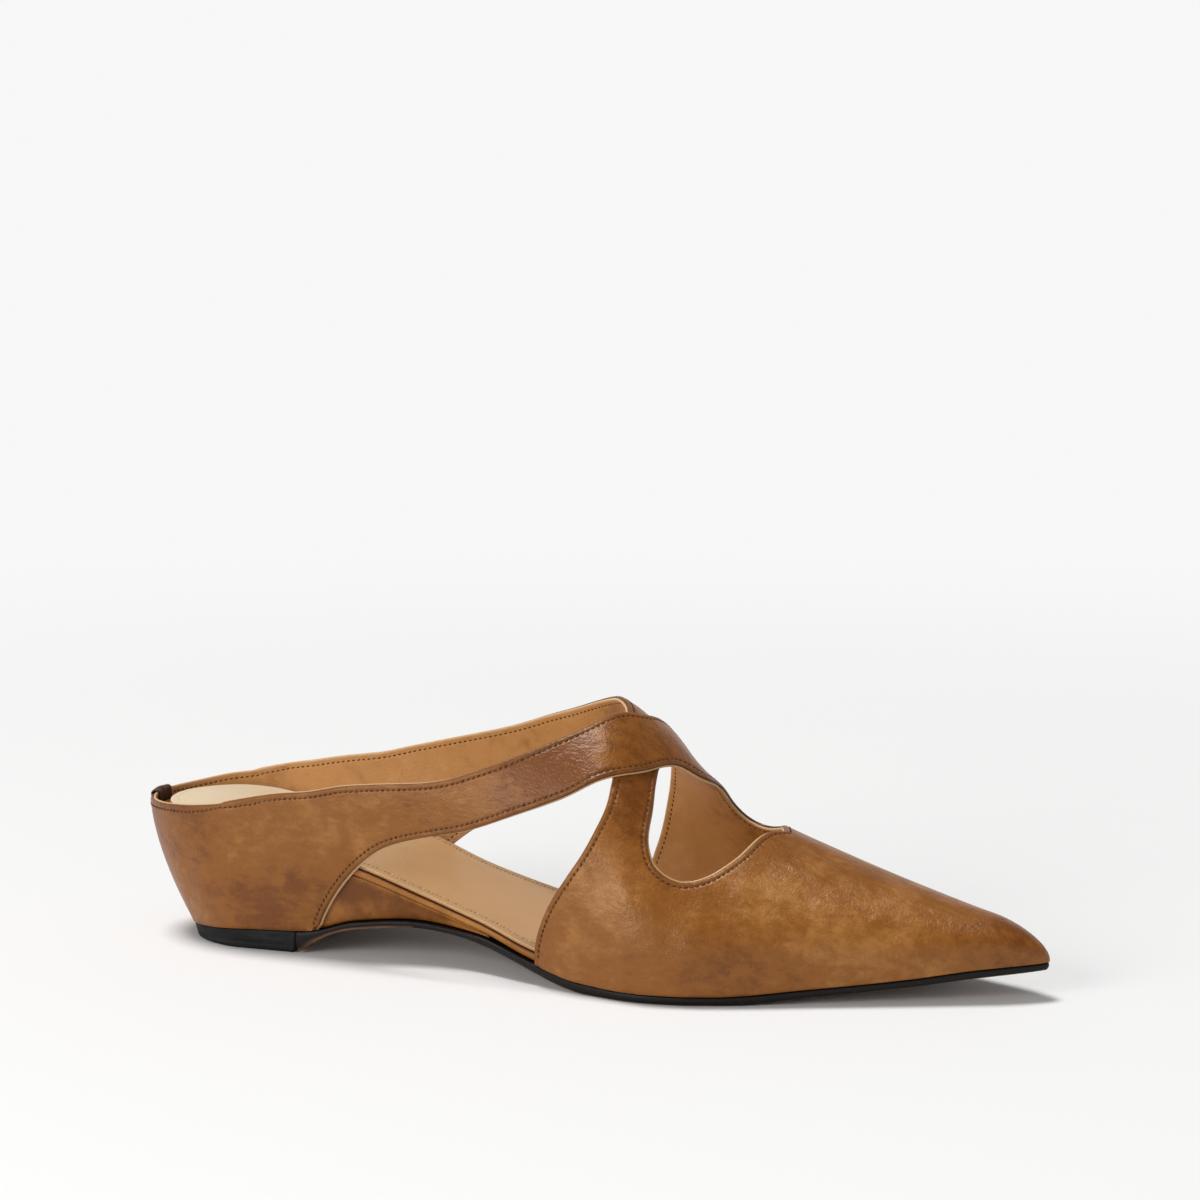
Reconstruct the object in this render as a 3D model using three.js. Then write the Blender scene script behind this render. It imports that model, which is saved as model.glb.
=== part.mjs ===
// A pointed leather mule for the right foot, in millimetres: +X to the toe, +Z up, -Y lateral.
// Two straps rise from the heel panels, cross over the instep and open out into the vamp.
// Everything is worked out on one last, which is given by its sections, heel to toe.

import * as THREE from 'three';
import { mergeVertices } from 'three/addons/utils/BufferGeometryUtils.js';

// ---- driving dimensions ---------------------------------------------------------------------

const TOE_X = 261; // toe tip, measured from the back of the heel's floor line
const HEEL_PIVOT_X = 24; // centre that the round heel back turns about
const HEEL_BACK_RADIUS = 25.2; // pivot to heel back at the feather line
const HEEL_BACK_LEAN = 14.4; // how much further back the topline is than the feather line
const HEEL_BACK_HEIGHT = 38; // height of that lean
const HEEL_BACK_CURVE = 1.7; // 1 is a straight lean, more is rounder
const HEEL_WRAP = 44; // length of wall from the pivot's side round to the back seam
const RIB_SHARE_BELOW = 0.45; // share of a rib's samples that lie below the widest line
const TOE_CAP_LENGTH = 17; // stretch over which the toe closes to its rounded tip

const UPPER_WALL = 1.8; // leather and lining together
const CLEARANCE = 0.3; // between neighbouring pieces
const BOARD_THICKNESS = 2.2;
const SOCK_THICKNESS = 1.2;
const HEEL_PAD = 1.2; // padding that the sock has more under the heel
const HEEL_PAD_END_X = 60;
const SOCK_HEEL_GAP = 3.6; // further gap between the sock's heel end and the back wall
const SOCK_INSET = 0.8; // the sock stops this far inside the board's edge
const SOLE_EDGE_INSET = 0.3; // the sole is trimmed this far under the upper
const SOLE_WELT_INSET = 1.2; // the sole's underside is drawn in this far
const SOLE_WELT_SHARE = 0.45; // share of the edge's height over which it is drawn in
const HEEL_TREAD_INSET = 1.3; // the heel tapers down to its tread
const HEEL_WAIST_INSET = 0.8;
const HEEL_WAIST_SHARE = 0.35; // height of the waist, as a share of the heel's
const BREAST_X = 41.5; // front of the heel on the floor
const WEDGE_FRONT_X = 103; // where the wedge has run out to nothing
const BOARD_FRONT_X = 254;
const SOCK_FRONT_X = 251;
const LATERAL = -1;
const MEDIAL = 1;

// ---- the last: a row for each section -------------------------------------------------------
// lateral and medial are half widths at the feather line, wideLateral and wideMedial those at
// the height wideZ. ridge is the height of the section's top, and roundness its fullness.

const LAST = table(
  ['x', 'lateral', 'medial', 'wideZ', 'wideLateral', 'wideMedial', 'ridge', 'roundness'],
  [
    [24, 24.8, 24.2, 44, 28.0, 27.0, 100, 2.2],
    [45, 24.8, 23.5, 46, 29.5, 28.0, 99, 2.2],
    [60, 24.4, 22.6, 46, 30.5, 29.0, 98, 2.1],
    [78, 23.6, 22.6, 43, 31.5, 30.0, 96, 2.1],
    [98, 26.5, 25.5, 38, 33.5, 32.0, 91, 2.0],
    [118, 34.0, 30.5, 30, 37.0, 34.5, 84, 1.9],
    [135, 40.0, 34.5, 22, 41.5, 37.5, 76.7, 1.88],
    [155, 44.0, 37.5, 16, 45.0, 39.5, 60.5, 1.62],
    [165, 43.0, 37.5, 14, 44.0, 39.0, 52.8, 1.6],
    [175, 40.0, 36.0, 13, 41.0, 37.5, 46.6, 1.68],
    [200, 29.5, 28.5, 12, 30.8, 30.0, 36.5, 1.85],
    [225, 19.0, 19.0, 13, 20.2, 20.4, 28.2, 1.95],
    [245, 10.4, 10.4, 15, 11.4, 11.4, 22.6, 2.0],
    [TOE_X, 4.6, 4.6, 15, 5.0, 5.0, 19.5, 2.0],
  ],
);

// feather line, where the upper meets the sole
const FEATHER = table(['x', 'z'], [
  [-4, 3.8], [24, 6.2], [45, 7.2], [60, 11.0], [78, 12.6], [98, 11.0], [118, 6.6],
  [135, 3.4], [155, 2.8], [175, 2.8], [200, 4.6], [225, 7.0], [245, 9.6], [TOE_X, 10.8],
]);
// top of the sock
const FOOTBED = table(['x', 'z'], [
  [-14, 40.4], [2, 40.2], [12, 39.3], [22, 37.5], [45, 33.4], [64, 28.3], [83, 21.2], [100, 15.6],
  [116, 10.9], [132, 8.2], [155, 7.2], [185, 7.8], [225, 11.6], [TOE_X, 15.2],
]);
// underside of the sole: up the heel breast, along the arch, flat under the ball, toe spring
const UNDERSIDE = table(['x', 'z'], [
  [BREAST_X, 0.0], [46, 2.9], [49.5, 5.0], [52.5, 6.5], [57, 7.9], [66, 9.3], [79, 10.3],
  [90, 9.8], [103, 7.6], [116, 4.5], [127, 1.6], [138, 0.0], [180, 0.0], [200, 1.9],
  [225, 4.4], [245, 7.0], [TOE_X, 8.4],
]);

// ---- edges of the straps: side, x and height of each named turn ------------------------------
// An edge crosses from one side to the other over the ridge, so only x is given there.

const BACK_SEAM = 'back seam';
const RIDGE = 'ridge';
const SOLE = 0; // height that is surely below the feather line

// the strap that rises on the lateral side and lies on top
const UPPER_STRAP = {
  rear: [
    [LATERAL, BACK_SEAM, 41.0], [LATERAL, -1, 41.4], [LATERAL, 12.6, 43.0], [LATERAL, 25.6, 45.9],
    [LATERAL, 38.5, 48.6], [LATERAL, 55.7, 51.7], [LATERAL, 86, 55.5], [LATERAL, 102.5, 60.4],
    [LATERAL, 118, 66.9], [LATERAL, 130, 72.2], [LATERAL, 137, 74.2], [RIDGE, 141.5],
    [MEDIAL, 143, 62], [MEDIAL, 140.5, 51], [MEDIAL, 137.4, 41], [MEDIAL, 134.5, 31],
    [MEDIAL, 131, 21], [MEDIAL, 128.5, 12], [MEDIAL, 128, SOLE],
  ],
  front: [
    [LATERAL, 48, SOLE], [LATERAL, 48.9, 7.8], [LATERAL, 52.3, 14.9], [LATERAL, 59.5, 24.8],
    [LATERAL, 64.8, 30.0], [LATERAL, 71.5, 34.8], [LATERAL, 86.6, 39.8], [LATERAL, 99.5, 43.0],
    [LATERAL, 112.7, 48.2], [LATERAL, 132.2, 56.5], [LATERAL, 146.5, 60.1], [LATERAL, 153.4, 60.2],
    [RIDGE, 160.5], [MEDIAL, 162, 51.5], [MEDIAL, 162.8, 45], [MEDIAL, 166.2, 40.8],
    [MEDIAL, 171.5, 38.9], [MEDIAL, 177.5, 40.2], [RIDGE, 184],
  ],
};
// the strap that rises on the medial side and passes underneath
const UNDER_STRAP = {
  rear: [
    [MEDIAL, BACK_SEAM, 41.0], [MEDIAL, -8, 41.8], [MEDIAL, -1, 43.2], [MEDIAL, 8.6, 44.8],
    [MEDIAL, 34.7, 49.7], [MEDIAL, 64, 55.8], [MEDIAL, 88, 61.9], [MEDIAL, 107.3, 68.6],
    [MEDIAL, 118, 72.6], [MEDIAL, 126, 75.6], [MEDIAL, 131.5, 77.0], [RIDGE, 136.5],
    [LATERAL, 139.5, 71.5], [LATERAL, 141.2, 58.9], [LATERAL, 141, 52.7], [LATERAL, 139.1, 46.7], [LATERAL, 136, 40.0],
    [LATERAL, 132, 33.7], [LATERAL, 125.7, 23.8], [LATERAL, 121.2, 12.6], [LATERAL, 119.8, SOLE],
  ],
  front: [
    [MEDIAL, 58, SOLE], [MEDIAL, 60, 11], [MEDIAL, 65.5, 18.5], [MEDIAL, 70.6, 24.1],
    [MEDIAL, 78.4, 30.3], [MEDIAL, 88, 37.0], [MEDIAL, 100, 44.4], [MEDIAL, 120, 55.5],
    [MEDIAL, 138, 63.5], [RIDGE, 149.5], [LATERAL, 150.6, 60.2], [LATERAL, 152.4, 51.8],
    [LATERAL, 153.6, 43.0], [LATERAL, 156.8, 37.3], [LATERAL, 163.6, 33.6],
    [LATERAL, 170, 34.3], [LATERAL, 176.6, 38.6], [LATERAL, 181, 43.2], [RIDGE, 184],
  ],
};

// ---- resolution -----------------------------------------------------------------------------

const HEEL_FAN_STEPS = 9;
const LENGTH_STEPS = 54;
const TOE_CAP_STEPS = 6;
const RIB_STEPS = 13; // on each side, feather line to ridge
const RIB_SAMPLES = 48;
const PATTERN_RIB = 70; // length that stands for any rib in the flat pattern
const EDGE_SAMPLES = 160;
const SNAP = 0.3; // share of a cell over which a corner moves onto a cut edge
const BED_STATIONS = 44;
const BED_CROWDING = 0.6; // how much the stations crowd towards the two round ends
const BED_END_ROUNDS = 8; // repeats that settle where a bed meets the leaning back wall
const WEDGE_LEVELS = 4;
const PROBE = 0.5; // step over which a slope is measured
const NUMBER_GRID = 0.002; // points closer than this are one vertex
const TINY = 1e-6;

// ---- tables and curves ----------------------------------------------------------------------

function table(columns, rows) {
  return Object.fromEntries(columns.map((name, i) => [name, rows.map((row) => row[i])]));
}

// Smooth interpolation that never overshoots its rows (Fritsch and Carlson).
function smooth(xs, ys) {
  const steps = xs.slice(1).map((x, i) => x - xs[i]);
  const slopes = steps.map((step, i) => (ys[i + 1] - ys[i]) / step);
  const tangents = xs.map((x, i) => {
    if (i === 0) return slopes[0];
    if (i === xs.length - 1) return slopes[i - 1];
    if (slopes[i - 1] * slopes[i] <= 0) return 0;
    const a = 2 * steps[i] + steps[i - 1];
    const b = steps[i] + 2 * steps[i - 1];
    return (a + b) / (a / slopes[i - 1] + b / slopes[i]);
  });
  return (x) => {
    const at = THREE.MathUtils.clamp(x, xs[0], xs[xs.length - 1]);
    let i = 0;
    while (i < steps.length - 1 && at > xs[i + 1]) i += 1;
    const t = (at - xs[i]) / steps[i];
    const t2 = t * t;
    const t3 = t2 * t;
    return (2 * t3 - 3 * t2 + 1) * ys[i] + (t3 - 2 * t2 + t) * steps[i] * tangents[i]
      + (3 * t2 - 2 * t3) * ys[i + 1] + (t3 - t2) * steps[i] * tangents[i + 1];
  };
}

const last = Object.fromEntries(
  Object.keys(LAST).filter((name) => name !== 'x').map((name) => [name, smooth(LAST.x, LAST[name])]),
);
const featherZ = smooth(FEATHER.x, FEATHER.z);
const footbedZ = smooth(FOOTBED.x, FOOTBED.z);
const undersideZ = smooth(UNDERSIDE.x, UNDERSIDE.z);

// ---- the last's surface ---------------------------------------------------------------------

// 1 along the shoe, falling to 0 on a quarter ellipse at the toe tip
function toeCap(x) {
  const t = THREE.MathUtils.clamp((x - TOE_X + TOE_CAP_LENGTH) / TOE_CAP_LENGTH, 0, 1);
  return Math.sqrt(1 - t * t);
}

function ridgeZ(x) {
  const base = featherZ(x);
  return base + (last.ridge(x) - base) * toeCap(x);
}

// half width of the section at x, on one side, at height z
function sectionHalf(x, z, side) {
  const cap = toeCap(x);
  const base = featherZ(x);
  const wideZ = base + (last.wideZ(x) - base) * cap;
  const foot = (side === LATERAL ? last.lateral(x) : last.medial(x)) * cap;
  const wide = (side === LATERAL ? last.wideLateral(x) : last.wideMedial(x)) * cap;
  if (z <= wideZ) {
    const t = THREE.MathUtils.clamp((wideZ - z) / Math.max(wideZ - base, TINY), 0, 1);
    return wide - (wide - foot) * t * t;
  }
  const n = last.roundness(x);
  const u = Math.min((z - wideZ) / Math.max(ridgeZ(x) - wideZ, TINY), 1);
  return wide * (1 - u ** n) ** (1 / n);
}

// pivot to heel back at height z
function heelBackRadius(z) {
  const t = THREE.MathUtils.clamp((z - FEATHER.z[0]) / HEEL_BACK_HEIGHT, 0, 1);
  return HEEL_BACK_RADIUS + HEEL_BACK_LEAN * (1 - (1 - t) ** HEEL_BACK_CURVE);
}

// half width of the last in plan at height z, moved inwards by a distance
function halfWidth(x, z, side, inwards, heelGap = 0) {
  const across = Math.max(x, HEEL_PIVOT_X);
  const here = sectionHalf(across, z, side);
  const alongX = x < HEEL_PIVOT_X ? 0 : (sectionHalf(across - PROBE, z, side) - here) / PROBE;
  const alongZ = (sectionHalf(across, z + PROBE, side) - here) / PROBE;
  const half = Math.max(here - inwards * Math.hypot(1, alongX, alongZ), 0);
  if (x >= HEEL_PIVOT_X) return half;
  const q = Math.min((HEEL_PIVOT_X - x) / (HEEL_PIVOT_X - heelBackX(z, inwards) - heelGap), 1);
  return half * Math.sqrt(1 - q * q);
}

// back of the last at height z, moved inwards by a distance
function heelBackX(z, inwards) {
  const lean = (heelBackRadius(z + PROBE) - heelBackRadius(z)) / PROBE;
  return HEEL_PIVOT_X - heelBackRadius(z) + inwards * Math.hypot(1, lean);
}

// A place along the last is its x from the pivot to the toe. Behind the pivot it runs on along
// the round heel wall, as far as the back seam.
const BACK_PLACE = HEEL_PIVOT_X - HEEL_WRAP;

// the rib at a place: points from feather line to ridge and the distance run up to each
function rib(place, side) {
  const x = Math.max(place, HEEL_PIVOT_X);
  const turn = (Math.max(HEEL_PIVOT_X - place, 0) / HEEL_WRAP) * (Math.PI / 2);
  const base = featherZ(x - HEEL_BACK_RADIUS * Math.sin(turn));
  const wideZ = featherZ(x) + (last.wideZ(x) - featherZ(x)) * toeCap(x);
  const points = [];
  const runs = [0];
  for (let i = 0; i <= RIB_SAMPLES; i += 1) {
    const t = i / RIB_SAMPLES;
    const above = Math.max((t - RIB_SHARE_BELOW) / (1 - RIB_SHARE_BELOW), 0) * (Math.PI / 2);
    const z = t < RIB_SHARE_BELOW
      ? THREE.MathUtils.lerp(base, wideZ, t / RIB_SHARE_BELOW)
      : wideZ + (ridgeZ(x) - wideZ) * Math.sin(above) ** (2 / last.roundness(x));
    const half = sectionHalf(x, z, side);
    points.push(new THREE.Vector3(
      x - (turn > 0 ? heelBackRadius(z) * Math.sin(turn) : 0),
      side * half * Math.cos(turn),
      z,
    ));
    if (i > 0) runs.push(runs[i - 1] + points[i].distanceTo(points[i - 1]));
  }
  return { points, runs };
}

// ---- the flat pattern -----------------------------------------------------------------------
// The last's surface laid flat: place along, and rib across, from the lateral feather line (0)
// over the ridge (PATTERN_RIB) to the medial feather line (2 * PATTERN_RIB).

function onLast(place, across) {
  const side = across <= PATTERN_RIB ? LATERAL : MEDIAL;
  const share = (side === LATERAL ? across : 2 * PATTERN_RIB - across) / PATTERN_RIB;
  const { points, runs } = rib(place, side);
  const run = THREE.MathUtils.clamp(share, 0, 1) * runs[RIB_SAMPLES];
  let i = 1;
  while (i < RIB_SAMPLES && runs[i] < run) i += 1;
  const length = Math.max(runs[i] - runs[i - 1], TINY);
  return points[i - 1].clone().lerp(points[i], (run - runs[i - 1]) / length);
}

function outward(place, across) {
  if (place > TOE_X - TINY) return new THREE.Vector3(1, 0, 0);
  const before = Math.max(place - PROBE, BACK_PLACE);
  const after = Math.min(place + PROBE, TOE_X);
  const under = Math.max(across - PROBE, 0);
  const over = Math.min(across + PROBE, 2 * PATTERN_RIB);
  const along = onLast(after, across).sub(onLast(before, across));
  const up = onLast(place, over).sub(onLast(place, under));
  const normal = along.cross(up);
  if (place < BACK_PLACE + TINY) normal.y = 0;
  return normal.normalize();
}

// where a turn of an edge lies on the flat pattern
function onPattern([side, x, z]) {
  if (side === RIDGE) return new THREE.Vector3(x, PATTERN_RIB, 0);
  const sine = Math.min((HEEL_PIVOT_X - x) / heelBackRadius(z), 1);
  let place = sine > 0 ? HEEL_PIVOT_X - (HEEL_WRAP * Math.asin(sine)) / (Math.PI / 2) : x;
  if (x === BACK_SEAM) place = BACK_PLACE;
  const { points, runs } = rib(place, side);
  let share = (z - points[0].z) / runs[RIB_SAMPLES];
  if (share > 0) {
    const i = points.findIndex((point) => point.z >= z);
    const t = (z - points[i - 1].z) / (points[i].z - points[i - 1].z);
    share = THREE.MathUtils.lerp(runs[i - 1], runs[i], t) / runs[RIB_SAMPLES];
  }
  return new THREE.Vector3(place, PATTERN_RIB * (side === LATERAL ? share : 2 - share), 0);
}

function edgeLine(turns) {
  const curve = new THREE.CatmullRomCurve3(turns.map(onPattern), false, 'centripetal');
  return curve.getPoints(EDGE_SAMPLES);
}

// the first place where two edges cross, as the number of the point before it on each
function crossing(first, second) {
  for (let i = 1; i < first.length - 1; i += 1) {
    for (let j = 1; j < second.length - 1; j += 1) {
      const p = first[i - 1];
      const r = first[i].clone().sub(p);
      const q = second[j - 1];
      const s = second[j].clone().sub(q);
      const area = r.x * s.y - r.y * s.x;
      const t = ((q.x - p.x) * s.y - (q.y - p.y) * s.x) / area;
      const u = ((q.x - p.x) * r.y - (q.y - p.y) * r.x) / area;
      if (t >= 0 && t < 1 && u >= 0 && u < 1) {
        return { i, j, point: p.clone().addScaledVector(r, t) };
      }
    }
  }
  throw new Error('two edges that should cross do not');
}

// The openings, as closed outlines on the flat pattern: the foot's, one under each strap, and
// the throat. Each has one sharp corner, where the straps cross.
function openings() {
  const [upperRear, upperFront] = [edgeLine(UPPER_STRAP.rear), edgeLine(UPPER_STRAP.front)];
  const [underRear, underFront] = [edgeLine(UNDER_STRAP.rear), edgeLine(UNDER_STRAP.front)];
  const foot = crossing(upperRear, underRear);
  const lateral = crossing(upperFront, underRear);
  const medial = crossing(underFront, upperRear);
  const throat = crossing(upperFront, underFront);
  const past = new THREE.Vector3(-10, 0, 0); // the foot's opening runs on through the back seam
  const outlines = [
    [upperRear[0].clone().add(past), ...upperRear.slice(0, foot.i), foot.point,
      ...underRear.slice(0, foot.j).reverse(), underRear[0].clone().add(past)],
    [...upperFront.slice(0, lateral.i), lateral.point, ...underRear.slice(lateral.j)],
    [...underFront.slice(0, medial.i), medial.point, ...upperRear.slice(medial.j)],
    [throat.point, ...upperFront.slice(throat.i), ...underFront.slice(throat.j).reverse()],
  ];
  return { outlines, corners: [foot.point, lateral.point, medial.point, throat.point] };
}

// distance from a pattern point to the nearest cut edge, negative inside an opening
function cutDistance(point, outlines) {
  let nearest = Infinity;
  let foot = point;
  let inside = false;
  for (const outline of outlines) {
    let crossings = 0;
    for (let i = 0; i < outline.length; i += 1) {
      const a = outline[i];
      const b = outline[(i + 1) % outline.length];
      const along = b.clone().sub(a);
      const t = THREE.MathUtils.clamp(point.clone().sub(a).dot(along) / along.lengthSq(), 0, 1);
      const candidate = a.clone().addScaledVector(along, along.lengthSq() > 0 ? t : 0);
      const distance = candidate.distanceTo(point);
      if (distance < nearest) [nearest, foot] = [distance, candidate];
      const meets = (a.y > point.y) !== (b.y > point.y);
      const ahead = point.x < a.x + ((point.y - a.y) / (b.y - a.y)) * (b.x - a.x);
      if (meets && ahead) crossings += 1;
    }
    if (crossings % 2 === 1) inside = true;
  }
  return { distance: inside ? -nearest : nearest, foot };
}

// the leather that is left of one pattern triangle, as a fan of triangles
function keepLeather(corners) {
  const kept = [];
  corners.forEach((corner, i) => {
    const next = corners[(i + 1) % 3];
    if (corner.distance >= 0) kept.push(corner.point);
    if (corner.distance * next.distance < 0) {
      const t = corner.distance / (corner.distance - next.distance);
      kept.push(corner.point.clone().lerp(next.point, t));
    }
  });
  const triangles = [];
  for (let i = 2; i < kept.length; i += 1) triangles.push([kept[0], kept[i - 1], kept[i]]);
  return triangles;
}

// ---- solids ---------------------------------------------------------------------------------

// a closed mesh from loose triangles of points, with doubles merged and slivers dropped
function solid(triangles) {
  const positions = triangles.flat().flatMap((point) => [point.x, point.y, point.z]);
  const loose = new THREE.BufferGeometry();
  loose.setAttribute('position', new THREE.Float32BufferAttribute(positions, 3));
  const merged = mergeVertices(loose, NUMBER_GRID / 2);
  const index = [...merged.index.array];
  const whole = [];
  for (let i = 0; i < index.length; i += 3) {
    const [a, b, c] = index.slice(i, i + 3);
    if (a !== b && b !== c && c !== a) whole.push(a, b, c);
  }
  merged.setIndex(whole);
  return merged;
}

// The upper: the flat pattern cut out, laid on the last and given its wall inwards.
function upperSolid() {
  const { outlines, corners } = openings();
  const places = [];
  for (let i = 0; i <= HEEL_FAN_STEPS; i += 1) {
    places.push(BACK_PLACE + (HEEL_WRAP * i) / HEEL_FAN_STEPS);
  }
  const capStart = TOE_X - TOE_CAP_LENGTH;
  for (let i = 1; i <= LENGTH_STEPS; i += 1) {
    places.push(THREE.MathUtils.lerp(HEEL_PIVOT_X, capStart, i / LENGTH_STEPS));
  }
  for (let i = 1; i <= TOE_CAP_STEPS; i += 1) {
    places.push(capStart + TOE_CAP_LENGTH * Math.sin((i / TOE_CAP_STEPS) * (Math.PI / 2)));
  }
  const grid = places.map((place, i) => {
    const column = [];
    for (let j = 0; j <= 2 * RIB_STEPS; j += 1) {
      const point = new THREE.Vector3(place, (j / RIB_STEPS) * PATTERN_RIB, 0);
      const cut = cutDistance(point, outlines);
      const inner = i > 0 && i < places.length - 1 && j > 0 && j < 2 * RIB_STEPS;
      const near = Math.abs(cut.distance) < (SNAP * PATTERN_RIB) / RIB_STEPS;
      const snapped = { point: cut.foot.clone(), distance: 0 };
      column.push(inner && near ? snapped : { point, distance: cut.distance });
    }
    return column;
  });
  corners.forEach((corner) => {
    const inner = grid.slice(1, -1).flatMap((column) => column.slice(1, -1));
    inner.sort((a, b) => a.point.distanceTo(corner) - b.point.distanceTo(corner));
    inner[0].point.copy(corner);
    inner[0].distance = 0;
  });
  const flat = [];
  for (let i = 1; i < grid.length; i += 1) {
    for (let j = 1; j <= 2 * RIB_STEPS; j += 1) {
      const [a, b, c, d] = [grid[i - 1][j - 1], grid[i][j - 1], grid[i][j], grid[i - 1][j]];
      const pairs = (j <= RIB_STEPS) ? [[a, b, c], [a, c, d]] : [[a, b, d], [b, c, d]];
      pairs.forEach((pair) => flat.push(...keepLeather(pair)));
    }
  }

  // one number for each place on the last, so that the seam, the ridge and the toe tip close
  const vertices = [];
  const numbers = new Map();
  const number = (point) => {
    const outer = onLast(point.x, point.y);
    const key = outer.toArray().map((value) => Math.round(value / NUMBER_GRID)).join();
    if (!numbers.has(key)) {
      const inner = outer.clone().addScaledVector(outward(point.x, point.y), -UPPER_WALL);
      numbers.set(key, vertices.length);
      vertices.push({ outer, inner });
    }
    return numbers.get(key);
  };
  const faces = flat.map((corners) => corners.map(number))
    .filter(([a, b, c]) => a !== b && b !== c && c !== a);
  const open = new Map();
  faces.forEach(([a, b, c]) => [[a, b], [b, c], [c, a]].forEach(([from, to]) => {
    if (!open.delete(`${to} ${from}`)) open.set(`${from} ${to}`, [from, to]);
  }));
  const triangles = [];
  faces.forEach(([a, b, c]) => {
    triangles.push([vertices[a].outer, vertices[b].outer, vertices[c].outer]);
    triangles.push([vertices[c].inner, vertices[b].inner, vertices[a].inner]);
  });
  open.forEach(([from, to]) => {
    const [a, b] = [vertices[from], vertices[to]];
    triangles.push([a.outer, a.inner, b.outer], [b.outer, a.inner, b.inner]);
  });
  return solid(triangles);
}

// A solid inside the last's plan, from levels lowest first. A level has its height along x, how
// far it stays inside the last, and where it begins and ends; without a start it goes round the
// heel, at a further gap to the back wall.
function bedSolid(levels) {
  const rings = levels.map(({ height, inwards, heelGap = 0, from, to }) => {
    let back = from ?? HEEL_PIVOT_X - HEEL_BACK_RADIUS;
    for (let i = 0; from === undefined && i < BED_END_ROUNDS; i += 1) {
      back = heelBackX(height(back), inwards) + heelGap;
    }
    const stations = [];
    for (let i = 0; i <= BED_STATIONS; i += 1) {
      const share = (1 - Math.cos((i / BED_STATIONS) * Math.PI)) / 2;
      const crowded = THREE.MathUtils.lerp(i / BED_STATIONS, share, BED_CROWDING);
      const x = THREE.MathUtils.lerp(back, to, crowded);
      const z = height(x);
      stations.push([LATERAL, MEDIAL].map((side) => (
        new THREE.Vector3(x, side * halfWidth(x, z, side, inwards, heelGap), z))));
    }
    return stations;
  });
  const triangles = [];
  const quad = (a, b, c, d) => triangles.push([a, b, c], [a, c, d]);
  const top = rings[rings.length - 1];
  for (let i = 1; i <= BED_STATIONS; i += 1) {
    quad(rings[0][i - 1][0], rings[0][i - 1][1], rings[0][i][1], rings[0][i][0]);
    quad(top[i - 1][0], top[i][0], top[i][1], top[i - 1][1]);
  }
  for (let level = 1; level < rings.length; level += 1) {
    const [low, high] = [rings[level - 1], rings[level]];
    for (let i = 1; i <= BED_STATIONS; i += 1) {
      quad(low[i - 1][0], low[i][0], high[i][0], high[i - 1][0]);
      quad(low[i][1], low[i - 1][1], high[i - 1][1], high[i][1]);
    }
    quad(low[0][1], low[0][0], high[0][0], high[0][1]);
    quad(low[BED_STATIONS][0], low[BED_STATIONS][1], high[BED_STATIONS][1], high[BED_STATIONS][0]);
  }
  return solid(triangles);
}

// ---- the pieces -----------------------------------------------------------------------------

const heelPad = (x) => HEEL_PAD * (1 - THREE.MathUtils.smoothstep(x, 0, HEEL_PAD_END_X));
const sockBottomZ = (x) => footbedZ(x) - SOCK_THICKNESS - heelPad(x);
const boardTopZ = (x) => sockBottomZ(x) - CLEARANCE;
const boardBottomZ = (x) => boardTopZ(x) - BOARD_THICKNESS;
const wedgeTopZ = (x) => boardBottomZ(x) - CLEARANCE;
const soleTopZ = (x) => featherZ(x) - CLEARANCE;
const INSIDE = UPPER_WALL + CLEARANCE;

// dark stacked heel block with a flat tread
function heelSolid() {
  const to = BREAST_X - CLEARANCE;
  return bedSolid([
    { height: () => 0, inwards: HEEL_TREAD_INSET, to },
    { height: (x) => soleTopZ(x) * HEEL_WAIST_SHARE, inwards: HEEL_WAIST_INSET, to },
    { height: soleTopZ, inwards: SOLE_EDGE_INSET, to },
  ]);
}

// leather sole, from the heel breast to the toe
function soleSolid() {
  const inwards = SOLE_EDGE_INSET;
  const from = BREAST_X;
  const to = TOE_X - SOLE_EDGE_INSET;
  const weltZ = (x) => THREE.MathUtils.lerp(undersideZ(x), soleTopZ(x), SOLE_WELT_SHARE);
  return bedSolid([
    { height: undersideZ, inwards: SOLE_WELT_INSET, from, to: to - SOLE_WELT_INSET + inwards },
    { height: weltZ, inwards, from, to },
    { height: soleTopZ, inwards, from, to },
  ]);
}

// wedge between sole and insole board, hidden at the heel and bare in the side openings
function wedgeSolid() {
  const levels = [];
  for (let i = 0; i <= WEDGE_LEVELS; i += 1) {
    const height = (x) => THREE.MathUtils.lerp(featherZ(x), wedgeTopZ(x), i / WEDGE_LEVELS);
    levels.push({ height, inwards: INSIDE, to: WEDGE_FRONT_X });
  }
  return bedSolid(levels);
}

function boardSolid() {
  return bedSolid([boardBottomZ, boardTopZ].map((height) => (
    { height, inwards: INSIDE, to: BOARD_FRONT_X })));
}

function sockSolid() {
  return bedSolid([sockBottomZ, footbedZ].map((height) => (
    { height, inwards: INSIDE + SOCK_INSET, heelGap: SOCK_HEEL_GAP, to: SOCK_FRONT_X })));
}

const PIECES = [
  { name: 'outsole', build: soleSolid, color: 0x2a2522, roughness: 0.55 },
  { name: 'heel', build: heelSolid, color: 0x2f2f30, roughness: 0.65 },
  { name: 'wedge', build: wedgeSolid, color: 0x8a5a30, roughness: 0.5 },
  { name: 'insole_board', build: boardSolid, color: 0x7d5230, roughness: 0.55 },
  { name: 'sock', build: sockSolid, color: 0xcfab7c, roughness: 0.6 },
  { name: 'upper', build: upperSolid, color: 0x9a6236, roughness: 0.45 },
];

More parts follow.
